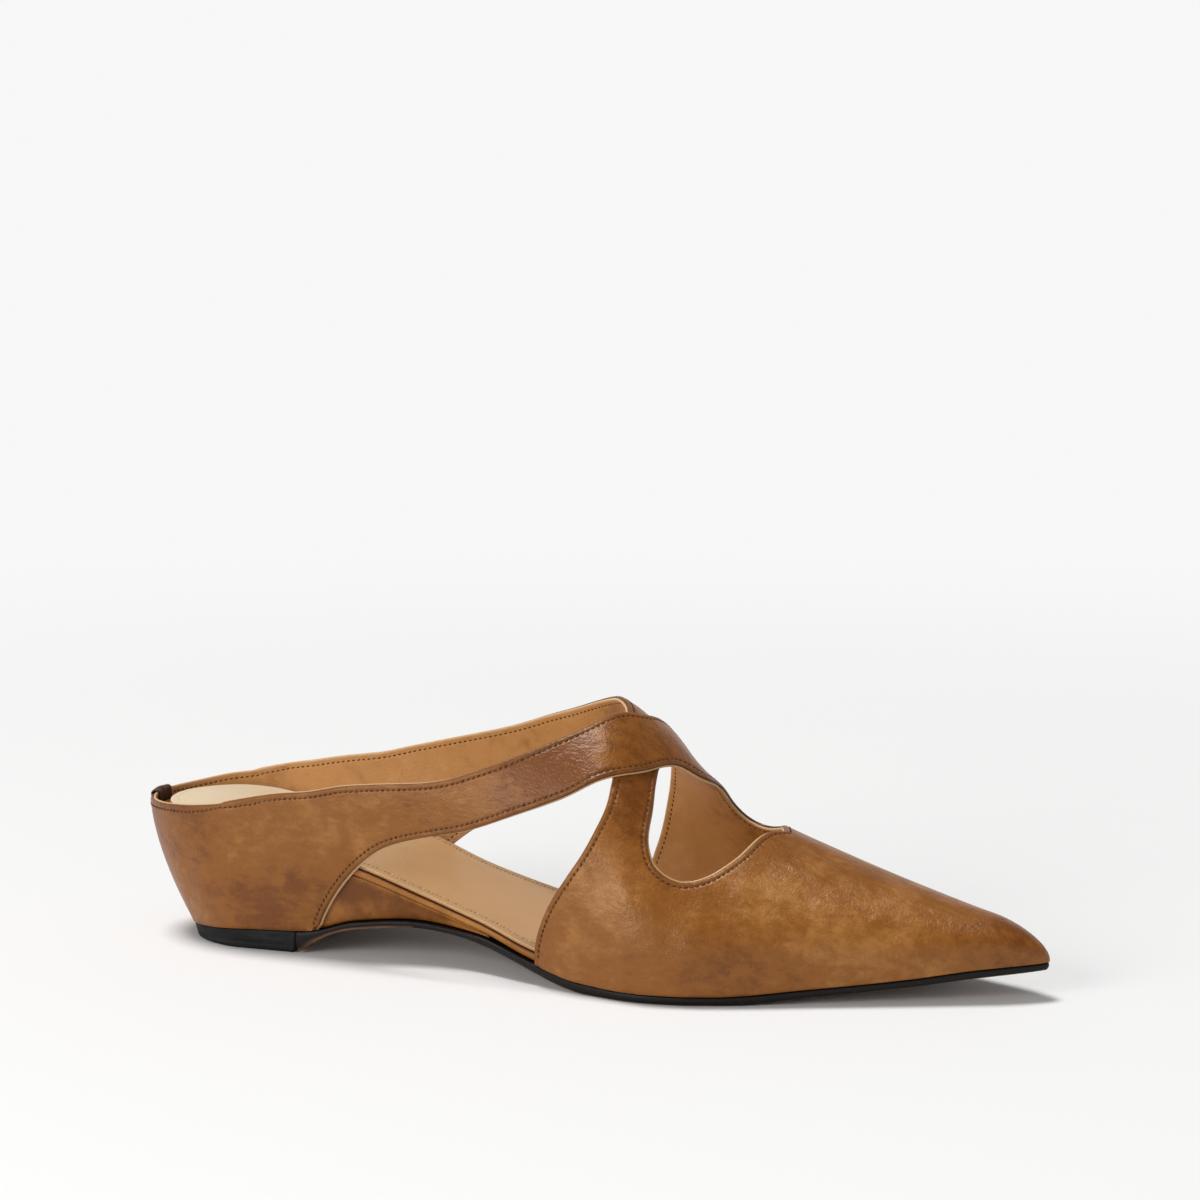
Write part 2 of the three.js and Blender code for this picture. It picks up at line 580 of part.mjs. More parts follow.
// origin in the middle of the shoe's length and width, on the floor
function shoe() {
  const group = new THREE.Group();
  PIECES.forEach(({ name, build, color, roughness }) => {
    const finish = new THREE.MeshStandardMaterial({ color, roughness, metalness: 0 });
    const mesh = new THREE.Mesh(build(), finish);
    mesh.name = name;
    group.add(mesh);
  });
  const box = new THREE.Box3().setFromObject(group);
  const middle = box.getCenter(new THREE.Vector3());
  group.children.forEach((mesh) => mesh.position.set(-middle.x, -middle.y, -box.min.z));
  return group;
}

export default shoe();
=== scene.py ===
"""A pointed leather mule for the right foot: crossed straps, low heel, stitched edges.

Lengths are in millimetres on the last, +X to the toe, +Z up, -Y lateral, and become metres in
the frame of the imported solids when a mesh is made.
"""

import logging
import math
from collections.abc import Callable, Sequence
from dataclasses import dataclass, field
from enum import Enum

import bpy
import numpy as np
from mathutils.kdtree import KDTree
from numpy.typing import NDArray
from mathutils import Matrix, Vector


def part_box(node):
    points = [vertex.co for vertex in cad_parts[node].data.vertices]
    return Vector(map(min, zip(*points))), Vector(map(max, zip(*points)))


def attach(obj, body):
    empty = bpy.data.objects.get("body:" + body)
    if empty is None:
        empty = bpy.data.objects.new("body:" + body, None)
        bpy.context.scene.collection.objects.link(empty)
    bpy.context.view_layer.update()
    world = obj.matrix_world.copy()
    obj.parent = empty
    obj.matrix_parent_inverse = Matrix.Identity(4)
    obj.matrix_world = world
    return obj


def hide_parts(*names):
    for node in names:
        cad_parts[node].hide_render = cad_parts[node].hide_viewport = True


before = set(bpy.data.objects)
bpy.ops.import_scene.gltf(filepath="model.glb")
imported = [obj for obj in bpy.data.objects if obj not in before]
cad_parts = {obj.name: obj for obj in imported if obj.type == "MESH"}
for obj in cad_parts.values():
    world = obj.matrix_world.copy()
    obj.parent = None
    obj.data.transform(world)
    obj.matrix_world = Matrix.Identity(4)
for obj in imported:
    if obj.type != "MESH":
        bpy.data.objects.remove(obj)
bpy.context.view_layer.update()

MM = 0.001
TINY = 1e-9
SMALL = 1e-6
SLAB = 8000  # points worked on at a time

log = logging.getLogger("mule")

Array = NDArray[np.float64]
Triple = tuple[float, float, float]
Colour = Triple


class Side(Enum):
    """Where on the last a turn of an edge lies."""

    LATERAL = -1
    RIDGE = 0
    MEDIAL = 1


LAT, TOP, MED = Side.LATERAL, Side.RIDGE, Side.MEDIAL
SEAM = math.inf  # stands for the x of the back seam
SOLE = 0.0  # a height that is surely below the feather line

Turn = tuple[Side, float, float]
Faces = list[list[int]]
Piece = bpy.types.Object
Material = bpy.types.Material
Socket = bpy.types.NodeSocket
Value = Socket | float | Sequence[float]
Pair = tuple[float, float]
Flags = NDArray[np.bool_]


# ---- curves


def smoothstep(value: Array, low: float, high: float) -> Array:
    """Eased rise from 0 at low to 1 at high."""
    share = np.clip((value - low) / (high - low), 0.0, 1.0)
    return share * share * (3.0 - 2.0 * share)


class SmoothLine:
    """A line through rows of x and y that never overshoots them."""

    def __init__(self, xs: Sequence[float], ys: Sequence[float]) -> None:
        """Works out the slopes at the rows.

        Args:
            xs: rising positions.
            ys: value at each position.
        """
        self.xs = np.array(xs, float)
        self.ys = np.array(ys, float)
        self.steps = np.diff(self.xs)
        slopes = np.diff(self.ys) / self.steps
        before, after = slopes[:-1], slopes[1:]
        a = 2 * self.steps[1:] + self.steps[:-1]
        b = self.steps[1:] + 2 * self.steps[:-1]
        with np.errstate(divide="ignore", invalid="ignore"):
            inner = (a + b) / (a / before + b / after)
        inner = np.where(before * after <= 0, 0.0, inner)
        self.tangents = np.concatenate([slopes[:1], inner, slopes[-1:]])

    def __call__(self, x: Array | float) -> Array:
        """Value of the line, held flat beyond its ends.

        Args:
            x: positions.

        Returns:
            The value at each.
        """
        at = np.clip(x, self.xs[0], self.xs[-1])
        i = np.clip(np.searchsorted(self.xs, at, side="left") - 1, 0, len(self.steps) - 1)
        step = self.steps[i]
        t = (at - self.xs[i]) / step
        t2, t3 = t * t, t * t * t
        return (
            (2 * t3 - 3 * t2 + 1) * self.ys[i]
            + (t3 - 2 * t2 + t) * step * self.tangents[i]
            + (3 * t2 - 2 * t3) * self.ys[i + 1]
            + (t3 - t2) * step * self.tangents[i + 1]
        )


def line(*rows: Pair) -> SmoothLine:
    """A smooth line from rows of x and value."""
    return SmoothLine([row[0] for row in rows], [row[1] for row in rows])


def spline(points: Array, samples: int) -> Array:
    """Centripetal Catmull-Rom curve through flat points.

    Args:
        points: the turns, one row each.
        samples: how many stretches the curve is divided into.

    Returns:
        samples + 1 points along the curve.
    """
    padded = np.vstack([2 * points[0] - points[1], points, 2 * points[-1] - points[-2]])
    at = np.linspace(0, len(points) - 1, samples + 1)
    i = np.minimum(at.astype(int), len(points) - 2)
    t = (at - i)[:, None]
    p0, p1, p2, p3 = padded[i], padded[i + 1], padded[i + 2], padded[i + 3]
    pairs = ((p0, p1), (p1, p2), (p2, p3))
    d0, d1, d2 = (np.sqrt(np.linalg.norm(b - a, axis=1))[:, None] for a, b in pairs)
    out = ((p1 - p0) / d0 - (p2 - p0) / (d0 + d1) + (p2 - p1) / d1) * d1
    into = ((p2 - p1) / d1 - (p3 - p1) / (d1 + d2) + (p3 - p2) / d2) * d1
    c2 = -3 * p1 + 3 * p2 - 2 * out - into
    c3 = 2 * p1 - 2 * p2 + out + into
    return p1 + out * t + c2 * t**2 + c3 * t**3


def runs_of(points: Array) -> Array:
    """Length of a line up to each of its points."""
    return np.concatenate([[0], np.cumsum(np.linalg.norm(np.diff(points, axis=0), axis=1))])


def at_runs(rows: Array, runs: Array, at: Array) -> Array:
    """Rows of a line at other lengths along it."""
    return np.stack([np.interp(at, runs, column) for column in rows.T], axis=1)


def unit(vectors: Array) -> Array:
    """The vectors at length 1."""
    return vectors / np.maximum(np.linalg.norm(vectors, axis=-1, keepdims=True), TINY)


# ---- the last


@dataclass
class Last:
    """The form that the shoe is made on, given by its sections from heel to toe."""

    toe_x: float = 261.0
    pivot_x: float = 24.0
    back_radius: float = 25.2
    back_lean: float = 14.4
    back_height: float = 38.0
    back_curve: float = 1.7
    wrap: float = 44.0
    share_below: float = 0.45
    toe_cap: float = 17.0
    rib: float = 70.0
    samples: int = 64
    probe: float = 0.5
    tip: float = 0.01
    ball: Pair = (130.0, 170.0)
    columns: tuple[str, ...] = (
        "x", "lateral", "medial", "wide_z", "wide_lateral", "wide_medial", "ridge", "roundness",
    )
    sections: tuple[tuple[float, ...], ...] = (
        (24, 24.8, 24.2, 44, 28.0, 27.0, 100, 2.2),
        (45, 24.8, 23.5, 46, 29.5, 28.0, 99, 2.2),
        (60, 24.4, 22.6, 46, 30.5, 29.0, 98, 2.1),
        (78, 23.6, 22.6, 43, 31.5, 30.0, 96, 2.1),
        (98, 26.5, 25.5, 38, 33.5, 32.0, 91, 2.0),
        (118, 34.0, 30.5, 30, 37.0, 34.5, 84, 1.9),
        (135, 40.0, 34.5, 22, 41.5, 37.5, 76.7, 1.88),
        (155, 44.0, 37.5, 16, 45.0, 39.5, 60.5, 1.62),
        (165, 43.0, 37.5, 14, 44.0, 39.0, 52.8, 1.6),
        (175, 40.0, 36.0, 13, 41.0, 37.5, 46.6, 1.68),
        (200, 29.5, 28.5, 12, 30.8, 30.0, 36.5, 1.85),
        (225, 19.0, 19.0, 13, 20.2, 20.4, 28.2, 1.95),
        (245, 10.4, 10.4, 15, 11.4, 11.4, 22.6, 2.0),
        (261, 4.6, 4.6, 15, 5.0, 5.0, 19.5, 2.0),
    )
    feather_z: SmoothLine = field(default_factory=lambda: line(
        (-4, 3.8), (24, 6.2), (45, 7.2), (60, 11.0), (78, 12.6), (98, 11.0), (118, 6.6),
        (135, 3.4), (155, 2.8), (175, 2.8), (200, 4.6), (225, 7.0), (245, 9.6), (261, 10.8),
    ))
    footbed_z: SmoothLine = field(default_factory=lambda: line(
        (-14, 40.4), (2, 40.2), (12, 39.3), (22, 37.5), (45, 33.4), (64, 28.3), (83, 21.2),
        (100, 15.6), (116, 10.9), (132, 8.2), (155, 7.2), (185, 7.8), (225, 11.6), (261, 15.2),
    ))
    underside_z: SmoothLine = field(default_factory=lambda: line(
        (41.5, 0.0), (46, 2.9), (49.5, 5.0), (52.5, 6.5), (57, 7.9), (66, 9.3), (79, 10.3),
        (90, 9.8), (103, 7.6), (116, 4.5), (127, 1.6), (138, 0.0), (180, 0.0), (200, 1.9),
        (225, 4.4), (245, 7.0), (261, 8.4),
    ))

    def __post_init__(self) -> None:
        """Makes the section lines and finds where the row frame's origin lies."""
        rows = np.array(self.sections, float)
        self.line = {
            name: SmoothLine(rows[:, 0], rows[:, i])
            for i, name in enumerate(self.columns) if i > 0
        }
        self.seam = self.pivot_x - self.wrap
        low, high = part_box("upper")
        widest = self.line["wide_lateral"](np.linspace(*self.ball, 400)).max()
        self.shift = np.array([high.x / MM - self.toe_x, low.y / MM + widest, 0.0])

    def cap(self, x: Array) -> Array:
        """1 along the last, falling to 0 on a quarter ellipse at the toe tip."""
        t = np.clip((x - self.toe_x + self.toe_cap) / self.toe_cap, 0.0, 1.0)
        return np.sqrt(1 - t * t)

    def wide_z(self, x: Array) -> Array:
        """Height of the widest line at x."""
        base = self.feather_z(x)
        return base + (self.line["wide_z"](x) - base) * self.cap(x)

    def ridge_z(self, x: Array) -> Array:
        """Height of the top at x."""
        base = self.feather_z(x)
        return base + (self.line["ridge"](x) - base) * self.cap(x)

    def half(self, x: Array, z: Array, side: Array) -> Array:
        """Half width of the section.

        Args:
            x: place of the section.
            z: height on it.
            side: -1 lateral, 1 medial.

        Returns:
            Distance from the middle plane to the last.
        """
        cap, base = self.cap(x), self.feather_z(x)
        lateral = side < 0
        foot = np.where(lateral, self.line["lateral"](x), self.line["medial"](x)) * cap
        wide = np.where(lateral, self.line["wide_lateral"](x), self.line["wide_medial"](x)) * cap
        wide_z, ridge_z = self.wide_z(x), self.ridge_z(x)
        down = np.clip((wide_z - z) / np.maximum(wide_z - base, TINY), 0, 1)
        up = np.clip((z - wide_z) / np.maximum(ridge_z - wide_z, TINY), 0, 1)
        n = self.line["roundness"](x)
        return np.where(z <= wide_z, wide - (wide - foot) * down**2, wide * (1 - up**n) ** (1 / n))

    def radius(self, z: Array) -> Array:
        """Pivot to heel back at height z."""
        t = np.clip((z - self.feather_z.ys[0]) / self.back_height, 0, 1)
        return self.back_radius + self.back_lean * (1 - (1 - t) ** self.back_curve)

    def back_x(self, z: Array, inwards: float) -> Array:
        """Back of the last at height z, moved inwards."""
        lean = (self.radius(z + self.probe) - self.radius(z)) / self.probe
        return self.pivot_x - self.radius(z) + inwards * np.hypot(1, lean)

    def plan_half(self, x: Array, z: Array, side: Array, inwards: float, gap: float) -> Array:
        """Half width in plan at height z.

        Args:
            x: place along the shoe, behind the pivot too.
            z: height there.
            side: -1 lateral, 1 medial.
            inwards: distance kept inside the last.
            gap: further distance kept from the back wall.

        Returns:
            Half width, 0 where nothing is left.
        """
        across = np.maximum(x, self.pivot_x)
        here = self.half(across, z, side)
        before = self.half(across - self.probe, z, side)
        along_x = np.where(x < self.pivot_x, 0, (before - here) / self.probe)
        along_z = (self.half(across, z + self.probe, side) - here) / self.probe
        half = np.maximum(here - inwards * np.sqrt(1 + along_x**2 + along_z**2), 0)
        reach = self.pivot_x - self.back_x(z, inwards) - gap
        q = np.clip((self.pivot_x - x) / reach, 0, 1)
        return half * np.sqrt(1 - q * q)

    def _rib_height(self, x: Array, turn: Array, t: Array) -> Array:
        """Height on a rib.

        Args:
            x: section of the rib.
            turn: its turn round the heel.
            t: share of the way from feather line to ridge.

        Returns:
            Height of the last there.
        """
        base = self.feather_z(x - self.back_radius * np.sin(turn))
        wide_z, ridge_z = self.wide_z(x), self.ridge_z(x)
        above = np.clip((t - self.share_below) / (1 - self.share_below), 0, 1) * (math.pi / 2)
        low = base + (wide_z - base) * t / self.share_below
        high = wide_z + (ridge_z - wide_z) * np.sin(above) ** (2 / self.line["roundness"](x))
        return np.where(t < self.share_below, low, high)

    def _rib_point(self, x: Array, turn: Array, side: Array, t: Array) -> Array:
        """Point on a rib.

        Args:
            x: section of the rib.
            turn: its turn round the heel.
            side: -1 lateral, 1 medial.
            t: share of the way from feather line to ridge.

        Returns:
            Point on the last.
        """
        z = self._rib_height(x, turn, t)
        back = np.where(turn > 0, self.radius(z) * np.sin(turn), 0.0)
        return np.stack([x - back, side * self.half(x, z, side) * np.cos(turn), z], axis=-1)

    def _rib(self, place: Array, side: Array) -> tuple[Array, Array, Array, Array]:
        """Samples of the ribs at places.

        Args:
            place: x from the pivot to the toe, running on round the heel behind it.
            side: -1 lateral, 1 medial.

        Returns:
            Section x, turn round the heel, sample points and the run up to each.
        """
        x = np.maximum(place, self.pivot_x)
        turn = np.maximum(self.pivot_x - place, 0) / self.wrap * (math.pi / 2)
        t = np.linspace(0, 1, self.samples + 1)[None, :]
        points = self._rib_point(x[:, None], turn[:, None], side[:, None], t)
        steps = np.linalg.norm(np.diff(points, axis=1), axis=2)
        runs = np.concatenate([np.zeros((len(place), 1)), np.cumsum(steps, axis=1)], axis=1)
        return x, turn, points, runs

    def point(self, flat: Array) -> Array:
        """Lays points of the flat pattern on the last.

        Args:
            flat: rows of place and rib, 0 at the lateral feather line and 2 rib at the medial.

        Returns:
            Points on the last.
        """
        out = np.empty((len(flat), 3))
        for start in range(0, len(flat), SLAB):
            part = flat[start:start + SLAB]
            place = np.clip(part[:, 0], self.seam, self.toe_x)
            side = np.where(part[:, 1] <= self.rib, -1.0, 1.0)
            up = np.where(side < 0, part[:, 1], 2 * self.rib - part[:, 1])
            share = np.clip(up / self.rib, 0, 1)
            x, turn, _, runs = self._rib(place, side)
            run = share * runs[:, -1]
            i = np.clip((runs < run[:, None]).sum(axis=1), 1, self.samples)
            rows = np.arange(len(part))
            low, high = runs[rows, i - 1], runs[rows, i]
            t = (i - 1 + (run - low) / np.maximum(high - low, TINY)) / self.samples
            out[start:start + SLAB] = self._rib_point(x, turn, side, t)
        return out

    def slopes(self, flat: Array) -> tuple[Array, Array]:
        """How the point moves with place and with rib, per unit of each.

        Args:
            flat: flat points.

        Returns:
            Change along the place and change along the rib.
        """
        after, before = flat.copy(), flat.copy()
        after[:, 0] = np.minimum(flat[:, 0] + self.probe, self.toe_x)
        before[:, 0] = np.maximum(flat[:, 0] - self.probe, self.seam)
        over, under = flat.copy(), flat.copy()
        over[:, 1] = np.minimum(flat[:, 1] + self.probe, 2 * self.rib)
        under[:, 1] = np.maximum(flat[:, 1] - self.probe, 0)
        along = (self.point(after) - self.point(before)) / (after[:, :1] - before[:, :1])
        up = (self.point(over) - self.point(under)) / (over[:, 1:] - under[:, 1:])
        return along, up

    def outward(self, flat: Array) -> Array:
        """Outward normals at points of the flat pattern.

        Args:
            flat: flat points.

        Returns:
            Unit normals of the last.
        """
        inner = flat.copy()
        inner[:, 0] = np.clip(flat[:, 0], self.seam, self.toe_x - self.tip)
        along, up = self.slopes(inner)
        normal = np.cross(along, up)
        normal[flat[:, 0] < self.seam + TINY, 1] = 0.0
        normal[flat[:, 0] > self.toe_x - self.tip] = (1.0, 0.0, 0.0)
        return unit(normal)

    def flat(self, turns: Sequence[Turn]) -> Array:
        """Where turns of an edge lie on the flat pattern.

        Args:
            turns: side, x and height of each turn.

        Returns:
            Rows of place and rib.
        """
        rows = []
        for side, x, z in turns:
            if side is Side.RIDGE:
                rows.append((x, self.rib))
                continue
            if x == SEAM:
                place = self.seam
            else:
                sine = min((self.pivot_x - x) / float(self.radius(np.float64(z))), 1.0)
                place = x
                if sine > 0:
                    place = self.pivot_x - self.wrap * math.asin(sine) / (math.pi / 2)
            _, _, points, runs = self._rib(np.array([place]), np.array([float(side.value)]))
            heights, run = points[0, :, 2], runs[0]
            if z <= heights[0]:
                share = (z - heights[0]) / run[-1]
            else:
                share = float(np.interp(z, heights, run)) / run[-1]
            rows.append((place, self.rib * (share if side is Side.LATERAL else 2 - share)))
        return np.array(rows)

    def metres(self, points: Array) -> Array:
        """Points of the last in the row frame."""
        return (points + self.shift) * MM


# ---- the pattern


@dataclass
class CutLine:
    """Cut edges of the leather, on the flat pattern and laid on the last."""

    last: Last
    lines: list[Array]

    def __post_init__(self) -> None:
        """Collects the stretches of all the lines, and a tree of their points."""
        solid = [self.last.point(one) for one in self.lines]
        self.first = solid[0][0]
        self.flat_from = np.vstack([one[:-1] for one in self.lines])
        self.flat_to = np.vstack([one[1:] for one in self.lines])
        self.start = np.vstack([one[:-1] for one in solid])
        self.along = np.vstack([one[1:] - one[:-1] for one in solid])
        self.square = np.maximum((self.along**2).sum(axis=1), TINY)
        before, after, first = [], [], 0
        for one in solid:
            stretch = first + np.arange(len(one))
            before.append(np.maximum(stretch - 1, first))
            after.append(np.minimum(stretch, first + len(one) - 2))
            first += len(one) - 1
        self.before, self.after = np.concatenate(before), np.concatenate(after)
        self.tree = KDTree(len(self.before))
        for i, point in enumerate(np.vstack(solid)):
            self.tree.insert(point, i)
        self.tree.balance()

    def nearest(self, points: Array) -> tuple[Array, Array]:
        """Nearest cut edge.

        Args:
            points: points on the last.

        Returns:
            Distance to the cut and its nearest place on the flat pattern.
        """
        best = np.full(len(points), np.inf)
        foot = np.zeros((len(points), 2))
        node = np.array([self.tree.find(point)[1] for point in points], int)
        for k in (self.before[node], self.after[node]):
            gap = points - self.start[k]
            t = np.clip((gap * self.along[k]).sum(axis=1) / self.square[k], 0, 1)[:, None]
            distance = np.linalg.norm(gap - t * self.along[k], axis=1)
            closer = distance < best
            best = np.where(closer, distance, best)
            place = self.flat_from[k] * (1 - t) + self.flat_to[k] * t
            foot = np.where(closer[:, None], place, foot)
        return best, foot


def inside(flat: Array, outline: Array) -> Flags:
    """Which flat points a closed outline holds.

    Args:
        flat: flat points.
        outline: corners of the outline.

    Returns:
        True for each point that lies inside.
    """
    ends = np.roll(outline, -1, axis=0)
    result = np.zeros(len(flat), bool)
    for begin in range(0, len(flat), SLAB):
        x, y = (column[begin:begin + SLAB, None] for column in flat.T)
        meets = (outline[:, 1] > y) != (ends[:, 1] > y)
        rise = ends[:, 1] - outline[:, 1]
        rise = np.where(rise == 0, TINY, rise)
        ahead = x < outline[:, 0] + (y - outline[:, 1]) / rise * (ends[:, 0] - outline[:, 0])
        result[begin:begin + SLAB] = (meets & ahead).sum(axis=1) % 2 == 1
    return result


@dataclass
class Strap:
    """One strap with its heel panel and its half of the vamp, cut from the flat pattern."""

    last: Last
    side: Side
    rear: list[Turn]
    front: list[Turn]
    samples: int = 200
    far: float = 40.0
    overlap: float = 0.2
    nudge: float = 1e-3

    def __post_init__(self) -> None:
        """Draws both edges and the outline that they bound."""
        self.rear_line = spline(self.last.flat(self.rear), self.samples)
        self.front_line = spline(self.last.flat(self.front), self.samples)
        rib, toe, seam = self.last.rib, self.last.toe_x, self.last.seam
        low = -self.far if self.side is Side.LATERAL else 2 * rib + self.far
        high = 2 * rib - low
        past = rib + (low - rib) * self.overlap
        self.throat = self.front_line[-1]
        rows = [
            (seam - self.far, self.rear_line[0, 1]), *self.rear_line, (self.rear_line[-1, 0], high),
            (toe + self.far, high), (toe + self.far, past), (self.throat[0] + self.nudge, past),
            *self.front_line[::-1], (self.front_line[0, 0], low), (seam - self.far, low),
        ]
        self.outline = np.array(rows)
        self.cut = CutLine(self.last, [self.rear_line, self.front_line])

    def depth(self, flat: Array, points: Array) -> Array:
        """Distance inside the strap's cut edges."""
        distance, _ = self.cut.nearest(points)
        return np.where(inside(flat, self.outline), distance, -distance)


@dataclass
class Patch:
    """A piece of the pattern as a mesh on the flat, with what is known of each vertex."""

    flat: Array
    sheet: Array
    faces: Faces
    rim: Flags
    foot: Array


def on(side: Side, *rows: Pair) -> list[Turn]:
    """Turns of an edge that lie on one side."""
    return [(side, x, z) for x, z in rows]


@dataclass
class Pattern:
    """The leather of the upper, cut on the flat in two sheets that cross over the instep."""

    last: Last
    length_step: float = 1.0
    rib_rows: int = 80
    toe_steps: int = 16
    margin: float = 2.6
    snap: float = 0.32
    pulls: int = 3
    halvings: int = 16
    pull_step: float = 0.05
    least_slope: float = 1e-3
    throat_room: float = 4.0
    weld_gap: float = 0.002
    upper_rear: list[Turn] = field(default_factory=lambda: [
        *on(LAT, (SEAM, 41.0), (-1, 41.4), (12.6, 43.0), (25.6, 45.9), (38.5, 48.6), (55.7, 51.7),
            (86, 55.5), (102.5, 60.4), (118, 66.9), (130, 72.2), (137, 74.2)),
        (TOP, 141.5, 0),
        *on(MED, (143, 62), (140.5, 51), (137.4, 41), (134.5, 31), (131, 21), (128.5, 12),
            (128, SOLE)),
    ])
    upper_front: list[Turn] = field(default_factory=lambda: [
        *on(LAT, (48, SOLE), (48.9, 7.8), (52.3, 14.9), (59.5, 24.8), (64.8, 30.0), (71.5, 34.8),
            (86.6, 39.8), (99.5, 43.0), (112.7, 48.2), (132.2, 56.5), (146.5, 60.1),
            (153.4, 60.2)),
        (TOP, 160.5, 0),
        *on(MED, (162, 51.5), (162.8, 45), (166.2, 40.8), (171.5, 38.9), (177.5, 40.2)),
        (TOP, 184, 0),
    ])
    under_rear: list[Turn] = field(default_factory=lambda: [
        *on(MED, (SEAM, 41.0), (-8, 41.8), (-1, 43.2), (8.6, 44.8), (34.7, 49.7), (64, 55.8),
            (88, 61.9), (107.3, 68.6), (118, 72.6), (126, 75.6), (131.5, 77.0)),
        (TOP, 136.5, 0),
        *on(LAT, (139.5, 71.5), (141.2, 58.9), (141, 52.7), (139.1, 46.7), (136, 40.0),
            (132, 33.7), (125.7, 23.8), (121.2, 12.6), (119.8, SOLE)),
    ])
    under_front: list[Turn] = field(default_factory=lambda: [
        *on(MED, (58, SOLE), (60, 11), (65.5, 18.5), (70.6, 24.1), (78.4, 30.3), (88, 37.0),
            (100, 44.4), (120, 55.5), (138, 63.5)),
        (TOP, 149.5, 0),
        *on(LAT, (150.6, 60.2), (152.4, 51.8), (153.6, 43.0), (156.8, 37.3), (163.6, 33.6),
            (170, 34.3), (176.6, 38.6), (181, 43.2)),
        (TOP, 184, 0),
    ])

    def __post_init__(self) -> None:
        """Draws the two straps."""
        self.upper = Strap(self.last, Side.LATERAL, self.upper_rear, self.upper_front)
        self.under = Strap(self.last, Side.MEDIAL, self.under_rear, self.under_front)
        self.throat_x = float(self.upper.throat[0])

    def straps(self) -> tuple[tuple[int, Strap, Strap], ...]:
        """Each strap with its number and the other strap."""
        return ((0, self.upper, self.under), (1, self.under, self.upper))

    def _field(self, strap: Strap, other: Strap, flat: Array) -> tuple[Array, Array]:
        """Distance inside the seam margin of a strap.

        Args:
            strap: the strap that is cut.
            other: the strap that shares its vamp.
            flat: points on the pattern.

        Returns:
            Distance inside the margin line, and the nearest place of the cut.
        """
        points = self.last.point(flat)
        distance, foot = strap.cut.nearest(points)
        vamp = flat[:, 0] > self.throat_x
        if vamp.any():
            near, near_foot = other.cut.nearest(points[vamp])
            closer = near < distance[vamp]
            distance[vamp] = np.where(closer, near, distance[vamp])
            foot[vamp] = np.where(closer[:, None], near_foot, foot[vamp])
        seam = flat[:, 0] < self.last.seam + SMALL
        distance[seam] = np.linalg.norm(points[seam] - strap.cut.first, axis=1)
        foot[seam] = strap.rear_line[0]
        held = inside(flat, strap.outline)
        return np.where(held, distance, -distance) - self.margin, foot

    def _grid(self) -> tuple[Array, Array]:
        """The grid that the sheets are cut from.

        Returns:
            Its places and its ribs.
        """
        last = self.last
        start = last.toe_x - last.toe_cap
        heel = np.linspace(last.seam, last.pivot_x, int(last.wrap / self.length_step) + 1)
        steps = int((start - last.pivot_x) / self.length_step)
        middle = np.linspace(last.pivot_x, start, steps + 1)
        middle[np.abs(middle - self.throat_x).argmin()] = self.throat_x
        cap = start + last.toe_cap * np.sin(np.linspace(0, math.pi / 2, self.toe_steps + 1))
        places = np.concatenate([heel, middle[1:], cap[1:]])
        return places, np.linspace(0, 2 * last.rib, 2 * self.rib_rows + 1)

    def _snap(
        self, cut: tuple[Strap, Strap], flat: Array, level: Array, foot: Array,
    ) -> Flags:
        """Moves grid points that lie close to the margin line onto it.

        Args:
            cut: the strap that is cut and the other.
            flat: the grid's points, changed in place.
            level: their distances inside the margin line, changed in place.
            foot: their nearest places of the cut, changed in place.

        Returns:
            Which points lie on the line now.
        """
        cols = 2 * self.rib_rows + 1
        index = np.arange(len(flat))
        i, j = index // cols, index % cols
        loose = (i > 0) & (i < i[-1]) & (j > 0) & (j < cols - 1)
        loose &= ~((j == self.rib_rows) & (flat[:, 0] > self.throat_x - self.throat_room))
        near = loose & (np.abs(level) < self.snap)
        for _ in range(self.pulls):
            spot = flat[near]
            here, _ = self._field(*cut, spot)
            grads = []
            for axis in (0, 1):
                moved = spot.copy()
                moved[:, axis] += self.pull_step
                grads.append((self._field(*cut, moved)[0] - here) / self.pull_step)
            grad = np.stack(grads, axis=1)
            square = np.maximum((grad**2).sum(axis=1), self.least_slope)
            flat[near] = spot - here[:, None] * grad / square[:, None]
        level[near], foot[near] = 0.0, self._field(*cut, flat[near])[1]
        return near

    def _cells(self, number: int, places: Array, level: Array) -> tuple[Faces, Faces]:
        """Sorts the cells of a strap's grid.

        Args:
            number: number of the strap.
            places: places of the grid's rows.
            level: distances inside the margin line.

        Returns:
            Cells wholly inside, and the triangles of those that the line crosses.
        """
        cols = 2 * self.rib_rows + 1
        whole, crossed = [], []
        for row in range(len(places) - 1):
            in_vamp = places[row] > self.throat_x - SMALL
            for col in range(cols - 1):
                lateral = col < self.rib_rows
                if in_vamp and lateral == (number == 0):
                    continue
                a = row * cols + col
                b, c, d = a + cols, a + cols + 1, a + 1
                signs = level[[a, b, c, d]]
                if (signs >= 0).all():
                    whole.append([a, b, c, d])
                elif (signs > 0).any():
                    crossed += ([a, b, c], [a, c, d]) if lateral else ([a, b, d], [b, c, d])
        return whole, crossed

    def _trim(self, triangles: Faces, level: Array) -> tuple[Faces, list[tuple[int, int]]]:
        """Cuts triangles off at the margin line.

        Args:
            triangles: their corners.
            level: distances inside the margin line.

        Returns:
            What is left, and the grid edges that the new points lie on, in their order.
        """
        crossing: dict[tuple[int, int], int] = {}
        left = []
        for corners in triangles:
            kept: list[int] = []
            for a, b in zip(corners, corners[1:] + corners[:1]):
                if level[a] >= 0:
                    kept.append(a)
                if level[a] * level[b] < 0:
                    key = (min(a, b), max(a, b))
                    kept.append(crossing.setdefault(key, len(level) + len(crossing)))
            if len(kept) > 2 and any(k >= len(level) or level[k] > 0 for k in kept):
                left.append(kept)
        return left, list(crossing)

